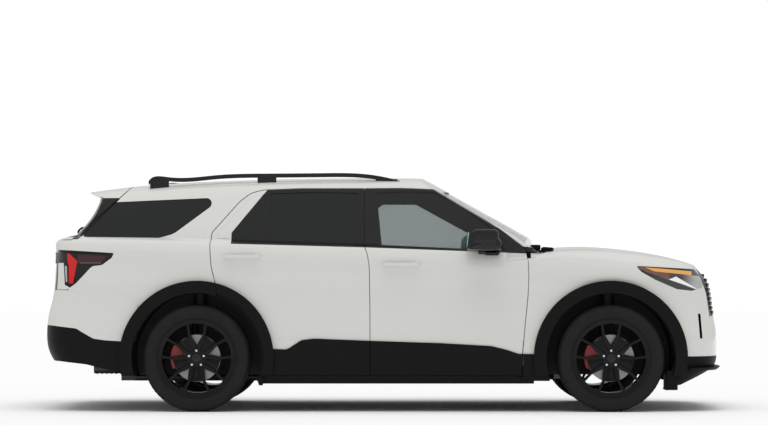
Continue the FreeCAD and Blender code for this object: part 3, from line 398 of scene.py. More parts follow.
def front_lamp(name):
    """Clear lens over a dark housing with a black rim.

    An amber band runs along the top, a bright unit sits below it and the inner wall behind is rosy.
    """
    finish = Finish(name, Coat_Weight=0.6, Coat_Roughness=0.02, IOR=1.5)
    x, _, z = finish.split()
    low = x.line((1.95, 1.0285), -0.1).larger(x.line((1.918, 1.052), -0.42))
    high = x.line((1.918, 1.0545), -0.082)
    amber = z.between(low, high) * x.between(1.91, 2.262)
    rim = (z < x.line((2.06, 0.972), -0.34)).larger(z < x.line((1.86, 1.05), -0.46)).larger(z > high + 0.001)
    unit_tip = (2.087, 0.966)
    unit = (z < x.line((2.135, 0.99), -0.55)) * z.between(x.line(unit_tip, -0.33), x.line(unit_tip, 0.4))
    unit = unit * (x > unit_tip[0])
    reflector = x.blend(2.17, 2.31) * (z < low)
    rosy = (x < 2.09) * (z < low)
    stripes = (z * 900.0 + x * 300.0).wave().blend(-0.4, 0.9)
    base = finish.colour(reflector, (0.045, 0.045, 0.048), (0.42, 0.43, 0.43))
    base = finish.colour(rosy * 0.85, base, finish.colour(stripes, (0.1, 0.055, 0.05), (0.3, 0.1, 0.05)))
    base = finish.colour(unit, base, (0.95, 0.95, 0.95))
    base = finish.colour(amber, base, finish.colour(stripes * 0.35, (0.78, 0.36, 0.08), (0.85, 0.5, 0.16)))
    finish.paint(rim, base, (0.008, 0.008, 0.009), 0.14 + finish.noise(60.0) * 0.08)
    return finish.material


def rear_lamp(name):
    """Smoked lens whose rear the body's white laps over.

    It has a bright red curved band, a pale strip behind the band and a dim red bar ahead of it.
    """
    finish = Finish(name, Specular_IOR_Level=0.3, IOR=1.5)
    x, y, z = finish.split()
    side = y.size() > 0.77
    band_front = (x < z * 0.196 - 2.4634).smaller(x < -0.3 - z * 1.72)
    band_rear = z.line((1.085, -2.317), -0.306).larger(z.line((1.065, -2.3215), -0.035)).smaller(-2.312)
    under_arc = z < x.line((-2.3, 1.15), -0.918).smaller(1.158)
    band = band_front * (x > band_rear) * under_arc * (z > 0.937) * side
    strip = x.between(z.line((1.066, -2.345), -0.07), z.line((1.066, -2.3285), -0.03)) * z.between(0.948, 1.066) * side
    bar_ends = x.between(z.line((1.1018, -2.2475), 0.196), z.line((1.146, -2.02), 0.9))
    bar = z.between(1.084, x.line((-2.24, 1.148), -0.05)) * bar_ends * side
    lower_line = z.between(1.084, 1.0905) * x.between(-2.225, -2.07) * side
    centre_bar = (y.size() < 0.72) * z.between(1.118, 1.146)
    lap = (x < z.line((1.09, -2.354), -0.06)) * (z < 1.088) * side
    below = (z < 0.905 + (-2.3 - x).larger(0.0) * 0.5) * (x < -2.262) * side
    painted = lap.larger(below)
    ribs = (z * 1400.0).wave().blend(-0.5, 0.8)
    dim = finish.colour(ribs, (0.03, 0.008, 0.01), (0.07, 0.022, 0.026))
    base = finish.colour((bar + centre_bar).smaller(1.0), (0.006, 0.003, 0.003), dim)
    base = finish.colour(lower_line * 0.6, base, (0.22, 0.16, 0.16))
    base = finish.colour(strip, base, (0.45, 0.44, 0.43))
    base = finish.colour(band, base, finish.colour(ribs * 0.4, (0.52, 0.004, 0.006), (0.66, 0.03, 0.03)))
    finish.paint(painted, base, WHITE, 0.1 + finish.noise(60.0) * 0.05 + painted * 0.25)
    finish.set("Emission Color", finish.colour(band * (1 - painted), (0.0, 0.0, 0.0), (0.8, 0.0, 0.0)))
    finish.set("Emission Strength", 0.1)
    return finish.material


def dress(material, *names):
    """Gives the CAD nodes a finish of their own."""
    for name in names:
        piece = nodes[name]
        piece.data.materials.clear()
        piece.data.materials.append(material)


def each(pattern):
    """Names of the pattern for both sides, and both ends where it says end."""
    return list(dict.fromkeys(pattern.format(end=end, side=side) for end, side in PLACES))


plain_white = body_paint("white_paint", rear_bumper_liner)
cladding = plain_plastic("grained_cladding", (0.008, 0.008, 0.0082), 0.5, 900.0, 0.0004)
gloss_black = gloss_plastic("gloss_black")
rubber = tyre_rubber("tyre_rubber")
wheel_black = gloss_plastic("wheel_black", (0.004, 0.004, 0.0045), 0.18)
dark_metal = grained_metal("dark_metal", (0.018, 0.018, 0.0185), 0.5, 0.4)
caliper_red = grained_metal("caliper_red", (0.26, 0.004, 0.006), 0.45, 0.0)
seat_leather = leather("seat_leather", (0.03, 0.03, 0.032))
soft_trim = plain_plastic("cabin_trim", (0.02, 0.02, 0.022), 0.6, 700.0, 0.0004)
screen_glass = gloss_plastic("screen_glass", (0.004, 0.005, 0.007))
chrome = grained_metal("bright_chrome", (0.75, 0.75, 0.76), 0.08)
mirror_silver = grained_metal("mirror_silver", (0.8, 0.82, 0.84), 0.02)
wiper_black = plain_plastic("wiper_black", (0.008, 0.008, 0.008), 0.45, 500.0, 0.0002)

dress(plain_white, "rear_bumper")
dress(body_paint("white_paint_roof", under_lining), "roof")
dress(body_paint("white_paint_bumper", front_well, bumper_dark), "front_bumper")
dress(body_paint("white_paint_hood", under_lining, hood_dark), "hood")
dress(body_paint("white_paint_fenders", fender_lining_and_shade, fender_dark), "front_fenders")
dress(body_paint("white_paint_doors", door_lining_and_shade, door_dark), *each("{end}_door_{side}"))
dress(body_paint("white_paint_side_frames", side_frame_lining_and_shade, side_frame_dark), "side_frames")
dress(body_paint("white_paint_liftgate", gate_liner, gate_dark), "liftgate")
dress(cladding, "arch_mouldings", "front_trim", "rear_trim", "cowl", *each("{end}_door_trim_{side}"))
dress(gloss_black, "roof_rails", "grille", *each("mirror_{side}"))
dress(tinted_glass("light_glass", (0.34, 0.37, 0.36), 0.28), "windshield")
dress(door_glass("front_door_glass"), *each("front_door_glass_{side}"))
dark_glass = tinted_glass("dark_glass", (0.005, 0.006, 0.006), 0.985)
dress(dark_glass, "quarter_glass", "liftgate_glass", *each("rear_door_glass_{side}"))
dress(rubber, *each("{end}_tyre_{side}"))
for end in ENDS:
    dress(brake_disc_steel(f"disc_steel_{end}", end), *each(end + "_brake_disc_{side}"))
dress(wheel_black, *each("{end}_rim_{side}"))
dress(caliper_red, "rear_calipers", *each("front_caliper_{side}"))
dress(dark_metal, "underbody", "drive_shafts", "front_suspension", "rear_suspension", *each("front_knuckle_{side}"))
dress(grained_metal("engine_alloy", (0.32, 0.32, 0.33), 0.4), "engine_block")
dress(grained_metal("exhaust_steel", (0.1, 0.097, 0.094), 0.4), "exhaust")
dress(front_lamp("headlamp"), "headlamps")
dress(rear_lamp("tail_lamp"), "tail_lamps", "liftgate_lamps")
dress(seat_leather, "front_seats", "rear_seats")
dress(soft_trim, "dashboard", "steering_wheel")

# Slot that goes with each finish of the new pieces, by material; keep only looks the finish up here
SLOT_OF = {
    "tyre_rubber": "tyre", "wheel_black": "wheel_black", "bright_chrome": "wheel_black", "gloss_black": "gloss_black",
    "screen_glass": "gloss_black", "wiper_black": "cladding_black", "grained_cladding": "cladding_black",
    "seat_leather": "seat_fabric", "cabin_trim": "cabin_trim", "mirror_silver": "glass_light",
    "white_paint": "paint_white",
}


def as_mesh(bm, name):
    """Turns a finished bmesh into a mesh."""
    mesh = bpy.data.meshes.new(name)
    bm.to_mesh(mesh)
    bm.free()
    return mesh


def placed(name, data):
    """New object in the scene."""
    thing = bpy.data.objects.new(name, data)
    bpy.context.collection.objects.link(thing)
    return thing


def keep(bm, name, material, body, smooth_below=35):
    """Makes a piece that rides on a body out of a finished bmesh; smooth_below is in degrees."""
    mesh = as_mesh(bm, name)
    mesh.shade_smooth()
    mesh.set_sharp_from_angle(angle=radians(smooth_below))
    mesh.materials.append(material)
    piece = placed(name, mesh)
    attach(piece, body)
    SLOT_OF[material.name.split(".")[0]]
    return piece


def edges_of(verts):
    return list({e for v in verts for e in v.link_edges})


def face_out(bm):
    """Turns all faces to look outward."""
    bmesh.ops.recalc_face_normals(bm, faces=bm.faces)


def added(bm, before):
    """The points that bm has got since the set before was taken."""
    return [v for v in bm.verts if v not in before]


def turn(bm, verts, centre, angle, axis="Y"):
    """Turns points round an axis through centre."""
    bmesh.ops.rotate(bm, verts=verts, cent=centre, matrix=Matrix.Rotation(angle, 3, axis))


def round_off(bm, edges, width, segments):
    """Rounds edges off in a number of segments."""
    bmesh.ops.bevel(bm, geom=edges, offset=width, affect="EDGES", segments=segments, profile=0.5, material=-1)


def drawn_out(bm, corners, way):
    """Closes the corners to a face, draws it out along the way and gives the far points."""
    face = bm.faces.new([bm.verts.new(corner) for corner in corners])
    made = bmesh.ops.extrude_face_region(bm, geom=[face])["geom"]
    far = [item for item in made if isinstance(item, bmesh.types.BMVert)]
    bmesh.ops.translate(bm, verts=far, vec=way)
    return far


def turned_ring(bm, profile, centre, steps):
    """Spins (across, radius) corners once round an axle that lies across the car."""
    verts = [bm.verts.new(centre + Vector((0, across, radius))) for across, radius in profile]
    edges = [bm.edges.new(pair) for pair in zip(verts, verts[1:])]
    bmesh.ops.spin(bm, geom=verts + edges, cent=centre, axis=(0, 1, 0), angle=tau, steps=steps, use_merge=True)


def everything_in(bm):
    return bm.verts[:] + bm.edges[:] + bm.faces[:]


def copy_round(bm, parts, centre, count):
    """Repeats the parts round an axle, until there are count of them."""
    bmesh.ops.spin(bm, geom=parts, cent=centre, axis=(0, 1, 0), angle=tau * (count - 1) / count,
                   steps=count - 1, use_duplicate=True)


def block(bm, low, high, rounding, segments=2):
    """Adds a rounded block between two corners and gives its points."""
    before = set(bm.verts)
    bmesh.ops.create_cube(bm, size=1.0)
    made = added(bm, before)
    low, high = Vector(low), Vector(high)
    bmesh.ops.scale(bm, verts=made, vec=high - low)
    bmesh.ops.translate(bm, verts=made, vec=(low + high) / 2)
    round_off(bm, edges_of(made), rounding, segments)
    return added(bm, before)


def side_block(bm, sign, low, high, rounding, segments=3):
    """Block whose corners are given for the left side, on the side that the sign says."""
    y0, y1 = sorted((sign * low[1], sign * high[1]))
    return block(bm, (low[0], y0, low[2]), (high[0], y1, high[2]), rounding, segments)


def on_both_sides(*blocks):
    """Bmesh with the same blocks on both sides; each says its corners, rounding and segments."""
    bm = bmesh.new()
    for side in SIDES:
        for corners_and_rounding in blocks:
            side_block(bm, SIGN[side], *corners_and_rounding)
    return bm


def join_in(target, part, place=Matrix.Identity(4)):
    """Copies a part into the target, set in its place."""
    mesh = bpy.data.meshes.new("part")
    part.to_mesh(mesh)
    mesh.transform(place)
    target.from_mesh(mesh)
    bpy.data.meshes.remove(mesh)


def read_off(table, value):
    """Height over value on the broken line through the table's points."""
    for (a0, b0), (a1, b1) in zip(table, table[1:]):
        if value <= a1:
            return b0 + (b1 - b0) * (value - a0) / (a1 - a0)
    return table[-1][1]


# Tyres: rows of slanting lugs, each shifted by a share of the pitch, between leaning shoulder lugs; the half
# section is given as (across, radius) from the bead to the middle
TREAD_PITCHES = 70
TREAD_ROWS = (-0.074, -0.037, 0.0, 0.037, 0.074)
ROW_SLANT = radians(20)
ROW_SHIFT = 0.37
LUG = (0.0275, 0.0305, 0.012)
LUG_SINK = 0.0062
SHOULDER_ROW = 0.1085
SHOULDER_LUG = (0.027, 0.03, 0.01)
SHOULDER_SINK = 0.0125
HALF_TYRE = [
    (0.112, 0.268), (0.119, 0.285), (0.1235, 0.2875), (0.124, 0.293), (0.122, 0.2965), (0.1275, 0.304),
    (0.1345, 0.323), (0.137, 0.327), (0.137, 0.333), (0.135, 0.3355), (0.1335, 0.352), (0.1285, 0.364),
    (0.1225, 0.372), (0.113, 0.3785), (0.095, 0.3815), (0.0, 0.3828),
]


def tread_row(bm, centre, across, radius, size, slant, lean, phase):
    """One ring of tread lugs."""
    before = set(bm.verts)
    bmesh.ops.create_cube(bm, size=1.0)
    lug = added(bm, before)
    bmesh.ops.scale(bm, verts=lug, vec=size)
    round_off(bm, edges_of(lug), 0.0013, 1)
    lug = added(bm, before)
    turn(bm, lug, ORIGIN, slant, "Z")
    turn(bm, lug, ORIGIN, lean, "X")
    bmesh.ops.translate(bm, verts=lug, vec=centre + Vector((0, across, radius)))
    turn(bm, lug, centre, phase)
    faces = list({f for v in lug for f in v.link_faces})
    copy_round(bm, lug + edges_of(lug) + faces, centre, TREAD_PITCHES)


def wheel_centre(end, side):
    return Vector((AXLE_X[end], SIGN[side] * WHEEL_Y, TYRE_RADIUS))


def tyre(end, side):
    """Turned carcass with its rows of lugs."""
    centre = wheel_centre(end, side)
    bm = bmesh.new()
    profile = [(-across, radius) for across, radius in HALF_TYRE] + HALF_TYRE[-2::-1]
    turned_ring(bm, profile, centre, 120)
    face_out(bm)
    pitch = tau / TREAD_PITCHES
    for row, across in enumerate(TREAD_ROWS):
        slant = ROW_SLANT if row % 2 else -ROW_SLANT
        tread_row(bm, centre, across, TYRE_RADIUS - LUG_SINK, LUG, slant, 0.0, pitch * ROW_SHIFT * row)
    for sign in (-1, 1):
        radius = TYRE_RADIUS - SHOULDER_SINK
        tread_row(bm, centre, sign * SHOULDER_ROW, radius, SHOULDER_LUG, 0.0, -sign * ROW_SLANT, pitch * 0.5)
    piece = keep(bm, f"{end}_tread_tyre_{side}", rubber, f"{end}_wheel_{side}", 30)
    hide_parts(f"{end}_tyre_{side}")


# Wheels: how far the face stands out at each radius, then (across, out) corners of the bars of an arm and
# (across, radius) corners of the turned parts
WHEEL_FACE = [(0.0, 0.112), (0.06, 0.112), (0.095, 0.106), (0.2, 0.117), (0.262, 0.122)]
SPOKE = [
    (0.013, 0.052), (0.037, 0.15), (0.046, 0.168), (0.08, 0.238), (0.09, 0.262),
    (0.1075, 0.243), (0.099, 0.229), (0.0645, 0.164), (0.0575, 0.085), (0.036, 0.05),
]
WEB = [(-0.04, 0.15), (-0.015, 0.05), (0.015, 0.05), (0.04, 0.15), (0.047, 0.166), (-0.047, 0.166)]
RIDGE = [(-0.009, 0.15), (-0.007, 0.056), (0.007, 0.056), (0.009, 0.15)]
FORK = [(-0.041, 0.168), (-0.036, 0.15), (0.036, 0.15), (0.041, 0.168)]
HUB = [
    (-0.1095, 0.025), (-0.1125, 0.0262), (-0.1125, 0.06), (-0.11, 0.064),
    (-0.09, 0.064), (-0.045, 0.06), (-0.044, 0.025), (-0.1095, 0.025),
]
BARREL = [
    (-0.114, 0.252), (-0.121, 0.2585), (-0.1245, 0.268), (-0.127, 0.279), (-0.1265, 0.285), (-0.124, 0.287),
    (-0.1206, 0.287), (-0.1162, 0.276), (-0.1128, 0.2677), (0.1128, 0.2677), (0.1162, 0.276), (0.1206, 0.287),
    (0.124, 0.287), (0.124, 0.276), (0.112, 0.258), (0.06, 0.252), (-0.114, 0.252),
]
HUB_CAP = [(0.09, 0.033), (0.1215, 0.033), (0.124, 0.03), (0.1225, 0.026), (0.123, 0.02), (0.124, 0.0004)]
ARMS = 5
NUT_CIRCLE = 0.05715


def face_bar(target, outline, sink, thick, rounding):
    """Bar in the wheel's face from the corners of its outline, sunk below the face, with broken front edges."""
    bm = bmesh.new()
    drawn_out(bm, [(x, 0.0, z) for x, z in outline], (0, thick, 0))
    face_out(bm)
    round_off(bm, [e for e in bm.edges if all(abs(v.co.y) < 1e-6 for v in e.verts)], rounding, 2)
    for v in bm.verts:
        v.co.y += sink - read_off(WHEEL_FACE, hypot(v.co.x, v.co.z))
    join_in(target, bm)


def wheel_spider():
    """Five arms, each a pair of thin spokes with a sunken web and a ridge between them, round a hub."""
    bm = bmesh.new()
    face_bar(bm, SPOKE, 0.0, 0.026, 0.0025)
    face_bar(bm, [(-x, z) for x, z in reversed(SPOKE)], 0.0, 0.026, 0.0025)
    face_bar(bm, WEB, 0.011, 0.016, 0.001)
    face_bar(bm, RIDGE, 0.002, 0.018, 0.003)
    face_bar(bm, FORK, 0.003, 0.018, 0.004)
    turn(bm, bm.verts, ORIGIN, pi / ARMS)
    copy_round(bm, everything_in(bm), ORIGIN, ARMS)
    turned_ring(bm, HUB, ORIGIN, 64)
    turned_ring(bm, BARREL, ORIGIN, 120)
    bmesh.ops.remove_doubles(bm, verts=bm.verts, dist=0.00002)
    face_out(bm)
    return bm


spider = wheel_spider()


def wheel(end, side):
    """The spider moved to its axle, mirrored on the left."""
    bm = spider.copy()
    if side == "left":
        bmesh.ops.scale(bm, verts=bm.verts, vec=(1, -1, 1))
        bmesh.ops.reverse_faces(bm, faces=bm.faces)
    bmesh.ops.translate(bm, verts=bm.verts, vec=wheel_centre(end, side))
    piece = keep(bm, f"{end}_spoked_wheel_{side}", wheel_black, f"{end}_wheel_{side}", 30)
    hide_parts(f"{end}_rim_{side}")


def wheel_fittings(end, side):
    """Chrome nuts and the cap over the hub."""
    sign = SIGN[side]
    centre = wheel_centre(end, side)
    bm = bmesh.new()
    for k in range(ARMS):
        at = tau * k / ARMS
        before = set(bm.verts)
        bmesh.ops.create_cone(bm, cap_ends=True, segments=6, radius1=0.0125, radius2=0.0115, depth=0.016)
        top = [f for f in {f for v in added(bm, before) for f in v.link_faces} if f.normal.z > 0.9]
        bmesh.ops.inset_region(bm, faces=top, thickness=0.0035, depth=0.0035)
        nut = added(bm, before)
        turn(bm, nut, ORIGIN, -sign * pi / 2, "X")
        spot = centre + Vector((NUT_CIRCLE * sin(at), sign * 0.119, NUT_CIRCLE * cos(at)))
        bmesh.ops.translate(bm, verts=nut, vec=spot)
    keep(bm, f"{end}_wheel_nuts_{side}", chrome, f"{end}_wheel_{side}", 30)
    bm = bmesh.new()
    turned_ring(bm, [(sign * across, radius) for across, radius in HUB_CAP], centre, 40)
    bmesh.ops.remove_doubles(bm, verts=bm.verts, dist=0.0006)
    face_out(bm)
    keep(bm, f"{end}_hub_cap_{side}", gloss_black, f"{end}_wheel_{side}", 40)


for end, side in PLACES:
    tyre(end, side)
    wheel(end, side)
    wheel_fittings(end, side)


def surface_tree(name):
    """Search tree over the faces of a CAD node."""
    bm = bmesh.new()
    bm.from_mesh(nodes[name].data)
    tree = BVHTree.FromBMesh(bm)
    bm.free()
    return tree


def hit(tree, start, way):
    """Where a line from start meets the surface and the way out of it there, or twice None."""
    way = Vector(way)
    spot, normal, _, _ = tree.ray_cast(Vector(start), way)
    if spot is None:
        return None, None
    return spot, (normal if normal.dot(way) < 0 else -normal)


BLADE_RADIUS = 0.0055
BLADE_CLEARANCE = 0.01


def blade_line(tree, starts, way):
    """Middle line of a wiper blade, over the spots where lines from the starts meet the pane."""
    hits = [hit(tree, start, way) for start in starts]
    return [spot + out * BLADE_CLEARANCE for spot, out in hits if spot is not None]


def rod(name, points, radius, body):
    """Round black rod through a few points."""
    curve = bpy.data.curves.new(name, "CURVE")
    curve.dimensions = "3D"
    line = curve.splines.new("NURBS")
    line.points.add(len(points) - 1)
    for knot, point in zip(line.points, points):
        knot.co = (*point, 1.0)
    line.order_u = 3
    line.use_endpoint_u = True
    curve.bevel_depth = radius
    curve.bevel_resolution = 2
    curve.resolution_u = 6
    curve.use_fill_caps = True
    holder = placed(name + "_line", curve)
    mesh = bpy.data.meshes.new_from_object(holder)
    bpy.data.objects.remove(holder)
    bm = bmesh.new()
    bm.from_mesh(mesh)
    bpy.data.meshes.remove(mesh)
    bmesh.ops.remove_doubles(bm, verts=bm.verts, dist=0.0001)
    face_out(bm)
    keep(bm, name, wiper_black, body)


def front_wiper(name, sign, tree):
    """Arm from its pivot under the hood's edge to a blade along the foot of the windshield."""
    hub_y, tip_y = sign * 0.64, sign * 0.03
    steps = [k / 6 for k in range(7)]
    starts = [(2.4, hub_y + (tip_y - hub_y) * step, 1.232 + 0.03 * step) for step in steps]
    blade = blade_line(tree, starts, (-1, 0, 0))
    if len(blade) < 3:
        return
    rod(name + "_blade", blade, BLADE_RADIUS, "body")
    foot = blade[0] + Vector((0.055, 0.0, -0.035))
    knee = foot + Vector((-0.005, 0, 0.03))
    middle = blade[len(blade) // 2] + Vector((0.0, 0.0, 0.012))
    rod(name + "_arm", [foot, knee, blade[1] + Vector((0.02, 0, 0.03)), middle], 0.0065, "body")


def rear_wiper():
    """Arm from its pivot at the foot of the rear window to a blade that lies across the pane."""
    tree = surface_tree("liftgate_glass")
    starts = [(-3.0, y, 1.36 - 0.05 * abs(y)) for y in (-0.02, 0.08, 0.18, 0.28, 0.36)]
    blade = blade_line(tree, starts, (1, 0, 0))
    if len(blade) < 4:
        return
    rod("rear_wiper_blade", blade, BLADE_RADIUS, "liftgate")
    hub, out = hit(tree, (-3.0, -0.02, 1.305), (1, 0, 0))
    arm = [hub - out * 0.01, hub + out * 0.035, blade[1] + out * 0.03, blade[3] + out * 0.012]
    rod("rear_wiper_arm", arm, 0.008, "liftgate")


windshield = surface_tree("windshield")
for side in SIDES:
    front_wiper(f"wiper_{side}", SIGN[side], windshield)

# Half width of the grille's opening by height, and the teeth just outside it
GRILLE_SIDE = [(0.7, 0.48), (0.72, 0.56), (0.8, 0.605), (0.88, 0.64), (0.975, 0.6), (1.004, 0.47)]
TEETH = 9
LOWEST_TOOTH_Z = 0.722
TOOTH_PITCH = 0.034
TOOTH_OUTSET = 0.04


def grille_teeth():
    """Gloss teeth down each side of the grille, set square on the bumper."""
    tree = surface_tree("front_bumper")
    bm = bmesh.new()
    for side in SIDES:
        for k in range(TEETH):
            z = LOWEST_TOOTH_Z + TOOTH_PITCH * k
            y = SIGN[side] * (read_off(GRILLE_SIDE, z) + TOOTH_OUTSET)
            spot, out = hit(tree, (3.2, y, z), (-1, 0, 0))
            if spot is None:
                continue
            tooth = block(bm, (-0.016, -0.045, -0.0145), (0.009, 0.045, 0.0145), 0.005)
            turn(bm, tooth, ORIGIN, atan2(out.y, out.x), "Z")
            bmesh.ops.translate(bm, verts=tooth, vec=spot)
    keep(bm, "grille_teeth", gloss_black, "body")


def small_covers():
    """Flaps ahead of the front wheels, and covers over open corners at the cowl, the hood and the rear arches."""
    flaps = on_both_sides(((2.064, 0.715, 0.157), (2.152, 0.905, 0.3), 0.008))
    keep(flaps, "front_wheel_flaps", cladding, "body")
    pillar_foot = ((1.02, 0.79, 1.1), (1.1, 0.855, 1.196), 0.01)
    cowl_corner = ((1.085, 0.6, 1.185), (1.16, 0.735, 1.224), 0.012)
    keep(on_both_sides(pillar_foot, cowl_corner), "cowl_ends", cladding, "body")
    caps = on_both_sides(((1.172, 0.55, 1.165), (1.258, 0.735, 1.209), 0.012))
    turn(caps, caps.verts, (1.172, 0, 1.209), radians(4))
    keep(caps, "hood_corner_caps", cladding, "hood")
    fillers = on_both_sides(((-1.822, 0.905, 0.752), (-1.77, 0.9325, 0.806), 0.004, 2))
    keep(fillers, "quarter_fillers", plain_white, "body")


grille_teeth()
small_covers()
rear_wiper()


# Where a pad's sides rise, its ends roll down and its corners draw in, as shares of half its size
BOLSTER_FROM = 0.5
ROLL_FROM = 0.75
CORNER_FROM = 0.8


def pad_blank(size, bolster, waist):
    """Closed pad with raised sides, standing on its flat back; size is along, across and through."""
    bm = bmesh.new()
    bmesh.ops.create_cube(bm, size=1.0)
    bmesh.ops.scale(bm, verts=bm.verts, vec=size)
    bmesh.ops.subdivide_edges(bm, edges=bm.edges[:], cuts=9, use_grid_fill=True)
    for v in bm.verts:
        along, across = 2 * v.co.x / size[0], 2 * v.co.y / size[1]
        if v.co.z > 0:
            v.co.z += bolster * max(0.0, abs(across) - BOLSTER_FROM) * 2 * v.co.z * 2 / size[2]
            v.co.z -= bolster * max(0.0, abs(along) - ROLL_FROM)
        v.co.y *= 1 - waist * max(0.0, along) ** 2
        corner = max(0.0, abs(along) - CORNER_FROM) * max(0.0, abs(across) - CORNER_FROM)
        v.co.x *= 1 - corner * 1.2
        v.co.y *= 1 - corner * 1.2
    return bm


def as_modified(piece):
    """The piece's mesh with its modifiers applied."""
    return bpy.data.meshes.new_from_object(piece.evaluated_get(bpy.context.evaluated_depsgraph_get()))


CLOTH_FRAMES = 20


def puffed(bm, cap):
    """The pad remeshed and blown up as cloth, no point moved more than cap."""
    pad = placed("pad", as_mesh(bm, "pad"))
    remesh = pad.modifiers.new("skin", "REMESH")
    remesh.mode = "VOXEL"
    remesh.voxel_size = 0.014
    skin = as_modified(pad)
    blown = skin
    pad.modifiers.clear()
    pad.data = skin
    cloth = pad.modifiers.new("blow", "CLOTH")
    cloth.settings.use_pressure = True
    cloth.settings.uniform_pressure_force = 4.0
    cloth.settings.quality = 4
    cloth.settings.mass = 0.4
    cloth.settings.effector_weights.gravity = 0.0
    cloth.point_cache.frame_start = 1
    cloth.point_cache.frame_end = CLOTH_FRAMES
    for frame_number in range(1, CLOTH_FRAMES + 1):
        bpy.context.scene.frame_set(frame_number)
    blown = as_modified(pad)
    for now, was in zip(blown.vertices, skin.vertices):
        move = now.co - was.co
        if move.length > cap:
            now.co = was.co + move * (cap / move.length)
    bpy.context.scene.frame_set(1)
    bpy.data.objects.remove(pad)
    result = bmesh.new()
    result.from_mesh(blown)
    bmesh.ops.smooth_vert(result, verts=result.verts, factor=0.5, use_axis_x=True, use_axis_y=True, use_axis_z=True)
    return result


SEAM_DEPTH = 0.007
SEAM_WIDTH = 0.011


def sewn(bm, lines):
    """Presses seams into the front of a pad; each line says how far a point is from it."""
    bm.normal_update()
    for v in bm.verts:
        if v.normal.z > 0.2:
            near = min(line(v.co) for line in lines)
            v.co -= v.normal * SEAM_DEPTH * exp(-(near / SEAM_WIDTH) ** 2)


def seam_lines(size):
    """Two seams beside the bolsters and cross channels between them."""
    edge = size[1] * 0.29
    lines = [lambda p: abs(abs(p.y) - edge)]
    for k in (-1, 0, 1):
        lines.append(lambda p, k=k: abs(p.x - size[0] * 0.2 * k) if abs(p.y) < edge else 1.0)
    return lines


def finished_pad(size, bolster, waist, cap):
    """Pad blown up and sewn; waist narrows its far end, and no point is blown further than cap."""
    bm = puffed(pad_blank(size, bolster, waist), cap)
    sewn(bm, seam_lines(size))
    return bm


cushion_pad = finished_pad((0.465, 0.485, 0.115), 0.045, 0.0, 0.022)
back_pad = finished_pad((0.575, 0.47, 0.09), 0.05, 0.12, 0.022)
head_pad = finished_pad((0.135, 0.225, 0.06), 0.0, 0.0, 0.016)


# Rows of seats at each end of the cabin; low and high are the foot and the top of the back
Seat = namedtuple("Seat", "x y width low high lean_degrees floor")
SEATS = {
    "front": [Seat(-0.02, 0.39, 0.52, 0.48, 1.15, 20, 0.29)],
    "rear": [Seat(-0.78, 0.37, 0.54, 0.48, 1.15, 22, 0.29), Seat(-1.7, 0.27, 0.48, 0.54, 1.11, 18, 0.51)],
}
# The pads are made to these measures and stretched to each seat
PAD_SEAT_WIDTH = 0.52
PAD_BACK_HEIGHT = 0.61
UPRIGHT = Matrix.Rotation(radians(-90), 4, "Y") @ Matrix.Rotation(pi, 4, "Z")


def seat_cushions(pads, seat, y):
    """Cushion, leaning back and head restraint of one seat, blown up in leather."""
    wide = seat.width / PAD_SEAT_WIDTH
    tall = (seat.high - seat.low - 0.06) / PAD_BACK_HEIGHT
    pivot = Vector((seat.x - 0.05, y, seat.low + 0.1))
    tilt = Matrix.Rotation(radians(-seat.lean_degrees), 4, "Y")
    leaning = Matrix.Translation(pivot) @ tilt @ Matrix.Translation(-pivot)
    middle = Vector((seat.x - 0.05, y, (seat.low + 0.06 + seat.high) / 2))
    top = Vector((seat.x - 0.06, y, seat.high + 0.115))
    front = Vector((seat.x + 0.19, y, seat.low + 0.078))
    join_in(pads, cushion_pad, Matrix.Translation(front) @ Matrix.Diagonal((1.0, wide, 1.0, 1.0)))
    stretched = Matrix.Diagonal((tall, wide, 1.0, 1.0))
    join_in(pads, back_pad, leaning @ Matrix.Translation(middle) @ UPRIGHT @ stretched)
    join_in(pads, head_pad, leaning @ Matrix.Translation(top) @ UPRIGHT)


def seat_frame(frames, seat, y):
    """Base, rails on feet, side shields, head restraint posts and rear shell of one seat."""
    x, low, high, floor = seat.x, seat.low, seat.high, seat.floor
    half = seat.width / 2
    pivot = Vector((x - 0.05, y, low + 0.1))
    lean = radians(-seat.lean_degrees)
    block(frames, (x - 0.02, y - half + 0.05, low - 0.03), (x + 0.4, y + half - 0.05, low + 0.04), 0.012)
    for sign in (-1, 1):
        rail = y + sign * (half - 0.085)
        block(frames, (x - 0.04, rail - 0.022, floor), (x + 0.41, rail + 0.022, floor + 0.028), 0.004)
        for x0, x1 in ((x + 0.02, x + 0.09), (x + 0.29, x + 0.36)):
            block(frames, (x0, rail - 0.014, floor + 0.02), (x1, rail + 0.014, low - 0.01), 0.004)
        shield = y + sign * (half - 0.022)
        block(frames, (x - 0.09, shield - 0.012, low - 0.015), (x + 0.34, shield + 0.012, low + 0.055), 0.011, 3)
        across = y + sign * 0.054
        post = block(frames, (x - 0.066, across - 0.006, high - 0.03), (x - 0.054, across + 0.006, high + 0.07), 0.003)
        turn(frames, post, pivot, lean)
    shell = block(frames, (x - 0.108, y - half + 0.03, low + 0.08), (x - 0.085, y + half - 0.03, high - 0.04), 0.01, 3)
    turn(frames, shell, pivot, lean)


def seat_row(row):
    """All seats of a CAD node: soft pads and hard frames take its place."""
    pads = bmesh.new()
    frames = bmesh.new()
    for seat in SEATS[row]:
        for side in SIDES:
            seat_cushions(pads, seat, SIGN[side] * seat.y)
            seat_frame(frames, seat, SIGN[side] * seat.y)
    soft = keep(pads, f"{row}_seat_pads", seat_leather, "body", 80)
    soft.modifiers.new("round", "SUBSURF").levels = 1
    soft.modifiers["round"].render_levels = 1
    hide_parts(f"{row}_seats")
    hard = keep(frames, f"{row}_seat_frames", soft_trim, "body")
    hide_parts(f"{row}_seats")


for row in ENDS:
    seat_row(row)


# The dashboard's screens and hood lean forward by this much
DASH_LEAN = radians(12)


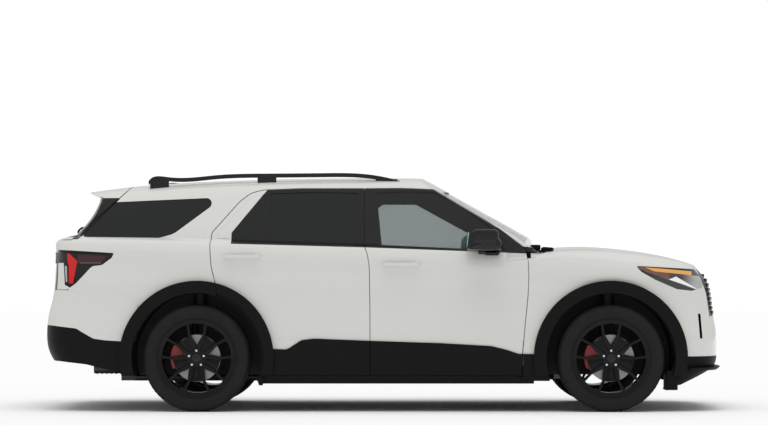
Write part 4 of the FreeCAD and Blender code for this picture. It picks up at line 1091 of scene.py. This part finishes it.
def dash_fittings():
    """Air vents, console and instrument hood, the two screens, and the console's rings and lever."""
    bm = bmesh.new()
    for y in (-0.74, -0.2, 0.2, 0.74):
        block(bm, (0.722, y - 0.075, 0.945), (0.75, y + 0.075, 1.005), 0.006)
        for k in range(4):
            z = 0.952 + 0.0135 * k
            block(bm, (0.718, y - 0.068, z), (0.726, y + 0.068, z + 0.005), 0.001, 1)
    block(bm, (0.66, -0.115, 0.695), (0.76, 0.115, 0.72), 0.01, 3)
    block(bm, (-0.1, -0.112, 0.695), (0.2, 0.112, 0.775), 0.03, 4)
    hood = block(bm, (0.74, 0.22, 1.1), (0.9, 0.52, 1.17), 0.02, 3)
    turn(bm, hood, (0.82, 0.37, 1.12), DASH_LEAN)
    keep(bm, "dashboard_fittings", soft_trim, "body")
    bm = bmesh.new()
    screen = block(bm, (0.728, -0.165, 1.03), (0.742, 0.165, 1.21), 0.005)
    turn(bm, screen, (0.735, 0, 1.04), DASH_LEAN)
    dials = block(bm, (0.752, 0.245, 1.085), (0.762, 0.495, 1.165), 0.004)
    turn(bm, dials, (0.757, 0.37, 1.1), DASH_LEAN)
    keep(bm, "dashboard_screens", screen_glass, "body")
    bm = bmesh.new()
    for x in (0.3, 0.41):
        ring = [bm.verts.new((x, radius, z)) for radius, z in ((0.036, 0.701), (0.045, 0.706), (0.046, 0.7005))]
        edges = [bm.edges.new(pair) for pair in zip(ring, ring[1:])]
        bmesh.ops.spin(bm, geom=ring + edges, cent=(x, 0, 0), axis=(0, 0, 1), angle=tau, steps=32, use_merge=True)
    block(bm, (0.5, -0.03, 0.7), (0.56, 0.03, 0.745), 0.014, 4)
    face_out(bm)
    keep(bm, "console_trim", chrome, "body")


# How far forward a door's armrest starts and ends
ARMREST = {"front": (0.06, 0.66), "rear": (-0.76, -0.27)}


def door_card(end, side):
    """Armrest, pocket, padded panel and handle on the inner side of a door."""
    sign = SIGN[side]
    x0, x1 = ARMREST[end]
    bm = bmesh.new()
    side_block(bm, sign, (x0, 0.862, 0.8), (x1, 0.93, 0.868), 0.022, 4)
    side_block(bm, sign, (x0 + 0.02, 0.876, 0.37), (x1 + 0.04, 0.93, 0.5), 0.02)
    side_block(bm, sign, (x0 + 0.01, 0.893, 0.9), (x1 + 0.03, 0.93, 1.09), 0.018)
    keep(bm, f"{end}_door_card_{side}", soft_trim, f"{end}_door_{side}")
    bm = bmesh.new()
    side_block(bm, sign, (x1 - 0.17, 0.88, 0.985), (x1 - 0.05, 0.895, 1.015), 0.006)
    keep(bm, f"{end}_door_inner_handle_{side}", chrome, f"{end}_door_{side}")


def door_corner(side):
    """Body-coloured corner of the rear door, cut from the pane's own shape and lifted flush with the frame."""
    edge = Vector((CORNER_X, 0, CORNER_X * CORNER_SLOPE + CORNER_HEIGHT))
    below = Vector((CORNER_SLOPE, 0, -1)).normalized()
    ahead = Vector((1, 0, 0))
    whole = bmesh.new()
    for cut_away in ([below], [-below, ahead]):
        bm = bmesh.new()
        bm.from_mesh(nodes[f"rear_door_glass_{side}"].data)
        bmesh.ops.remove_doubles(bm, verts=bm.verts, dist=0.0001)
        for way in cut_away:
            made = bmesh.ops.bisect_plane(bm, geom=everything_in(bm), plane_co=edge, plane_no=way, clear_outer=True)
            rim = [item for item in made["geom_cut"] if isinstance(item, bmesh.types.BMEdge)]
            bmesh.ops.holes_fill(bm, edges=rim, sides=0)
        join_in(whole, bm)
    bmesh.ops.translate(whole, verts=whole.verts, vec=(0, SIGN[side] * 0.004, 0.0015))
    face_out(whole)
    keep(whole, f"rear_door_corner_{side}", plain_white, f"rear_door_{side}")


dash_fittings()
for end, side in PLACES:
    door_card(end, side)
for side in SIDES:
    door_corner(side)

# Side outline of the mirrors as (x, z), and where it stands across the car
MIRROR_OUTLINE = [
    (0.603, 1.19), (0.612, 1.262), (0.632, 1.318), (0.66, 1.33), (0.745, 1.326), (0.8, 1.308), (0.845, 1.278),
    (0.872, 1.24), (0.88, 1.205), (0.868, 1.176), (0.8, 1.168), (0.64, 1.172), (0.608, 1.178),
]
MIRROR_INNER_Y = 0.965
MIRROR_WIDTH = 0.164


def mirror(side):
    """Rounded shell on a foot at the door, narrower outside, with the glass sunk in its rear face."""
    sign = SIGN[side]
    bm = bmesh.new()
    inner = [(x, sign * MIRROR_INNER_Y, z) for x, z in MIRROR_OUTLINE]
    outer = drawn_out(bm, inner, (0, sign * MIRROR_WIDTH, 0))
    bmesh.ops.scale(bm, verts=outer, vec=(0.9, 1.0, 0.86), space=Matrix.Translation((-0.64, 0, -1.25)))
    face_out(bm)
    round_off(bm, [e for e in bm.edges if abs(e.verts[0].co.y - e.verts[1].co.y) < 1e-6], 0.02, 4)
    keep(bm, f"mirror_shell_{side}", gloss_black, f"front_door_{side}", 40)
    bm = bmesh.new()
    side_block(bm, sign, (0.6055, 0.985, 1.2), (0.6125, 1.112, 1.31), 0.003, 2)
    turn(bm, bm.verts, (0.606, 0, 1.2), radians(5))
    keep(bm, f"mirror_glass_{side}", mirror_silver, f"front_door_{side}")
    bm = bmesh.new()
    side_block(bm, sign, (0.69, 0.93, 1.15), (0.85, 1.01, 1.185), 0.012)
    keep(bm, f"mirror_foot_{side}", gloss_black, f"front_door_{side}", 40)


for side in SIDES:
    mirror(side)


def studio_floor():
    """Wide pale floor."""
    bm = bmesh.new()
    bmesh.ops.create_grid(bm, x_segments=1, y_segments=1, size=80.0)
    floor = placed("studio_floor", as_mesh(bm, "studio_floor"))
    finish = Finish("studio_white", Specular_IOR_Level=0.1)
    finish.paint(finish.noise(0.4), (0.94, 0.94, 0.94), (0.96, 0.96, 0.96), 0.9)
    floor.data.materials.append(finish.material)


# How bright the white surround lights the car, and how bright the camera sees it
SURROUND_LIGHT = 0.6
SURROUND_SEEN = 1.05


def studio_light():
    """One wide light from above and a white surround."""
    sun = bpy.data.lights.new("wide_overhead", "SUN")
    sun.energy = 1.45
    sun.angle = radians(50)
    holder = placed("wide_overhead", sun)
    holder.rotation_euler = (radians(12), 0, 0)
    holder.visible_glossy = False
    world = bpy.data.worlds.new("studio")
    bpy.context.scene.world = world
    world.use_nodes = True
    tree = world.node_tree
    sky = tree.nodes["Background"]
    seen = tree.nodes.new("ShaderNodeLightPath")
    strength = tree.nodes.new("ShaderNodeMapRange")
    strength.inputs["To Min"].default_value = SURROUND_LIGHT
    strength.inputs["To Max"].default_value = SURROUND_SEEN
    tree.links.new(seen.outputs["Is Camera Ray"], strength.inputs["Value"])
    tree.links.new(strength.outputs[0], sky.inputs["Strength"])
    sky.inputs["Color"].default_value = (1.0, 1.0, 1.0, 1.0)
    bpy.context.scene.view_settings.view_transform = "Standard"


# The camera fitted to the photo: its place in metres, its sensor in millimetres, the rest in pixels
CAMERA_PLACE = (0.15, -20.0, 0.909)
PICTURE_WIDTH = 768.0
FOCAL_LENGTH = 2606.0
AIM_LEFT = 20.0
AIM_UP = 74.8
SENSOR_MM = 36.0


def studio_camera():
    """Camera that stands where the photo was taken from."""
    camera = bpy.data.cameras.new("camera")
    camera.sensor_width = SENSOR_MM
    camera.lens = FOCAL_LENGTH / PICTURE_WIDTH * SENSOR_MM
    camera.clip_end = 200.0
    holder = placed("camera", camera)
    holder.location = CAMERA_PLACE
    rise = atan(AIM_UP / FOCAL_LENGTH)
    swing = atan(AIM_LEFT / FOCAL_LENGTH)
    holder.rotation_euler = (radians(90) + rise, 0.0, swing)
    bpy.context.scene.camera = holder


studio_floor()
studio_light()
studio_camera()
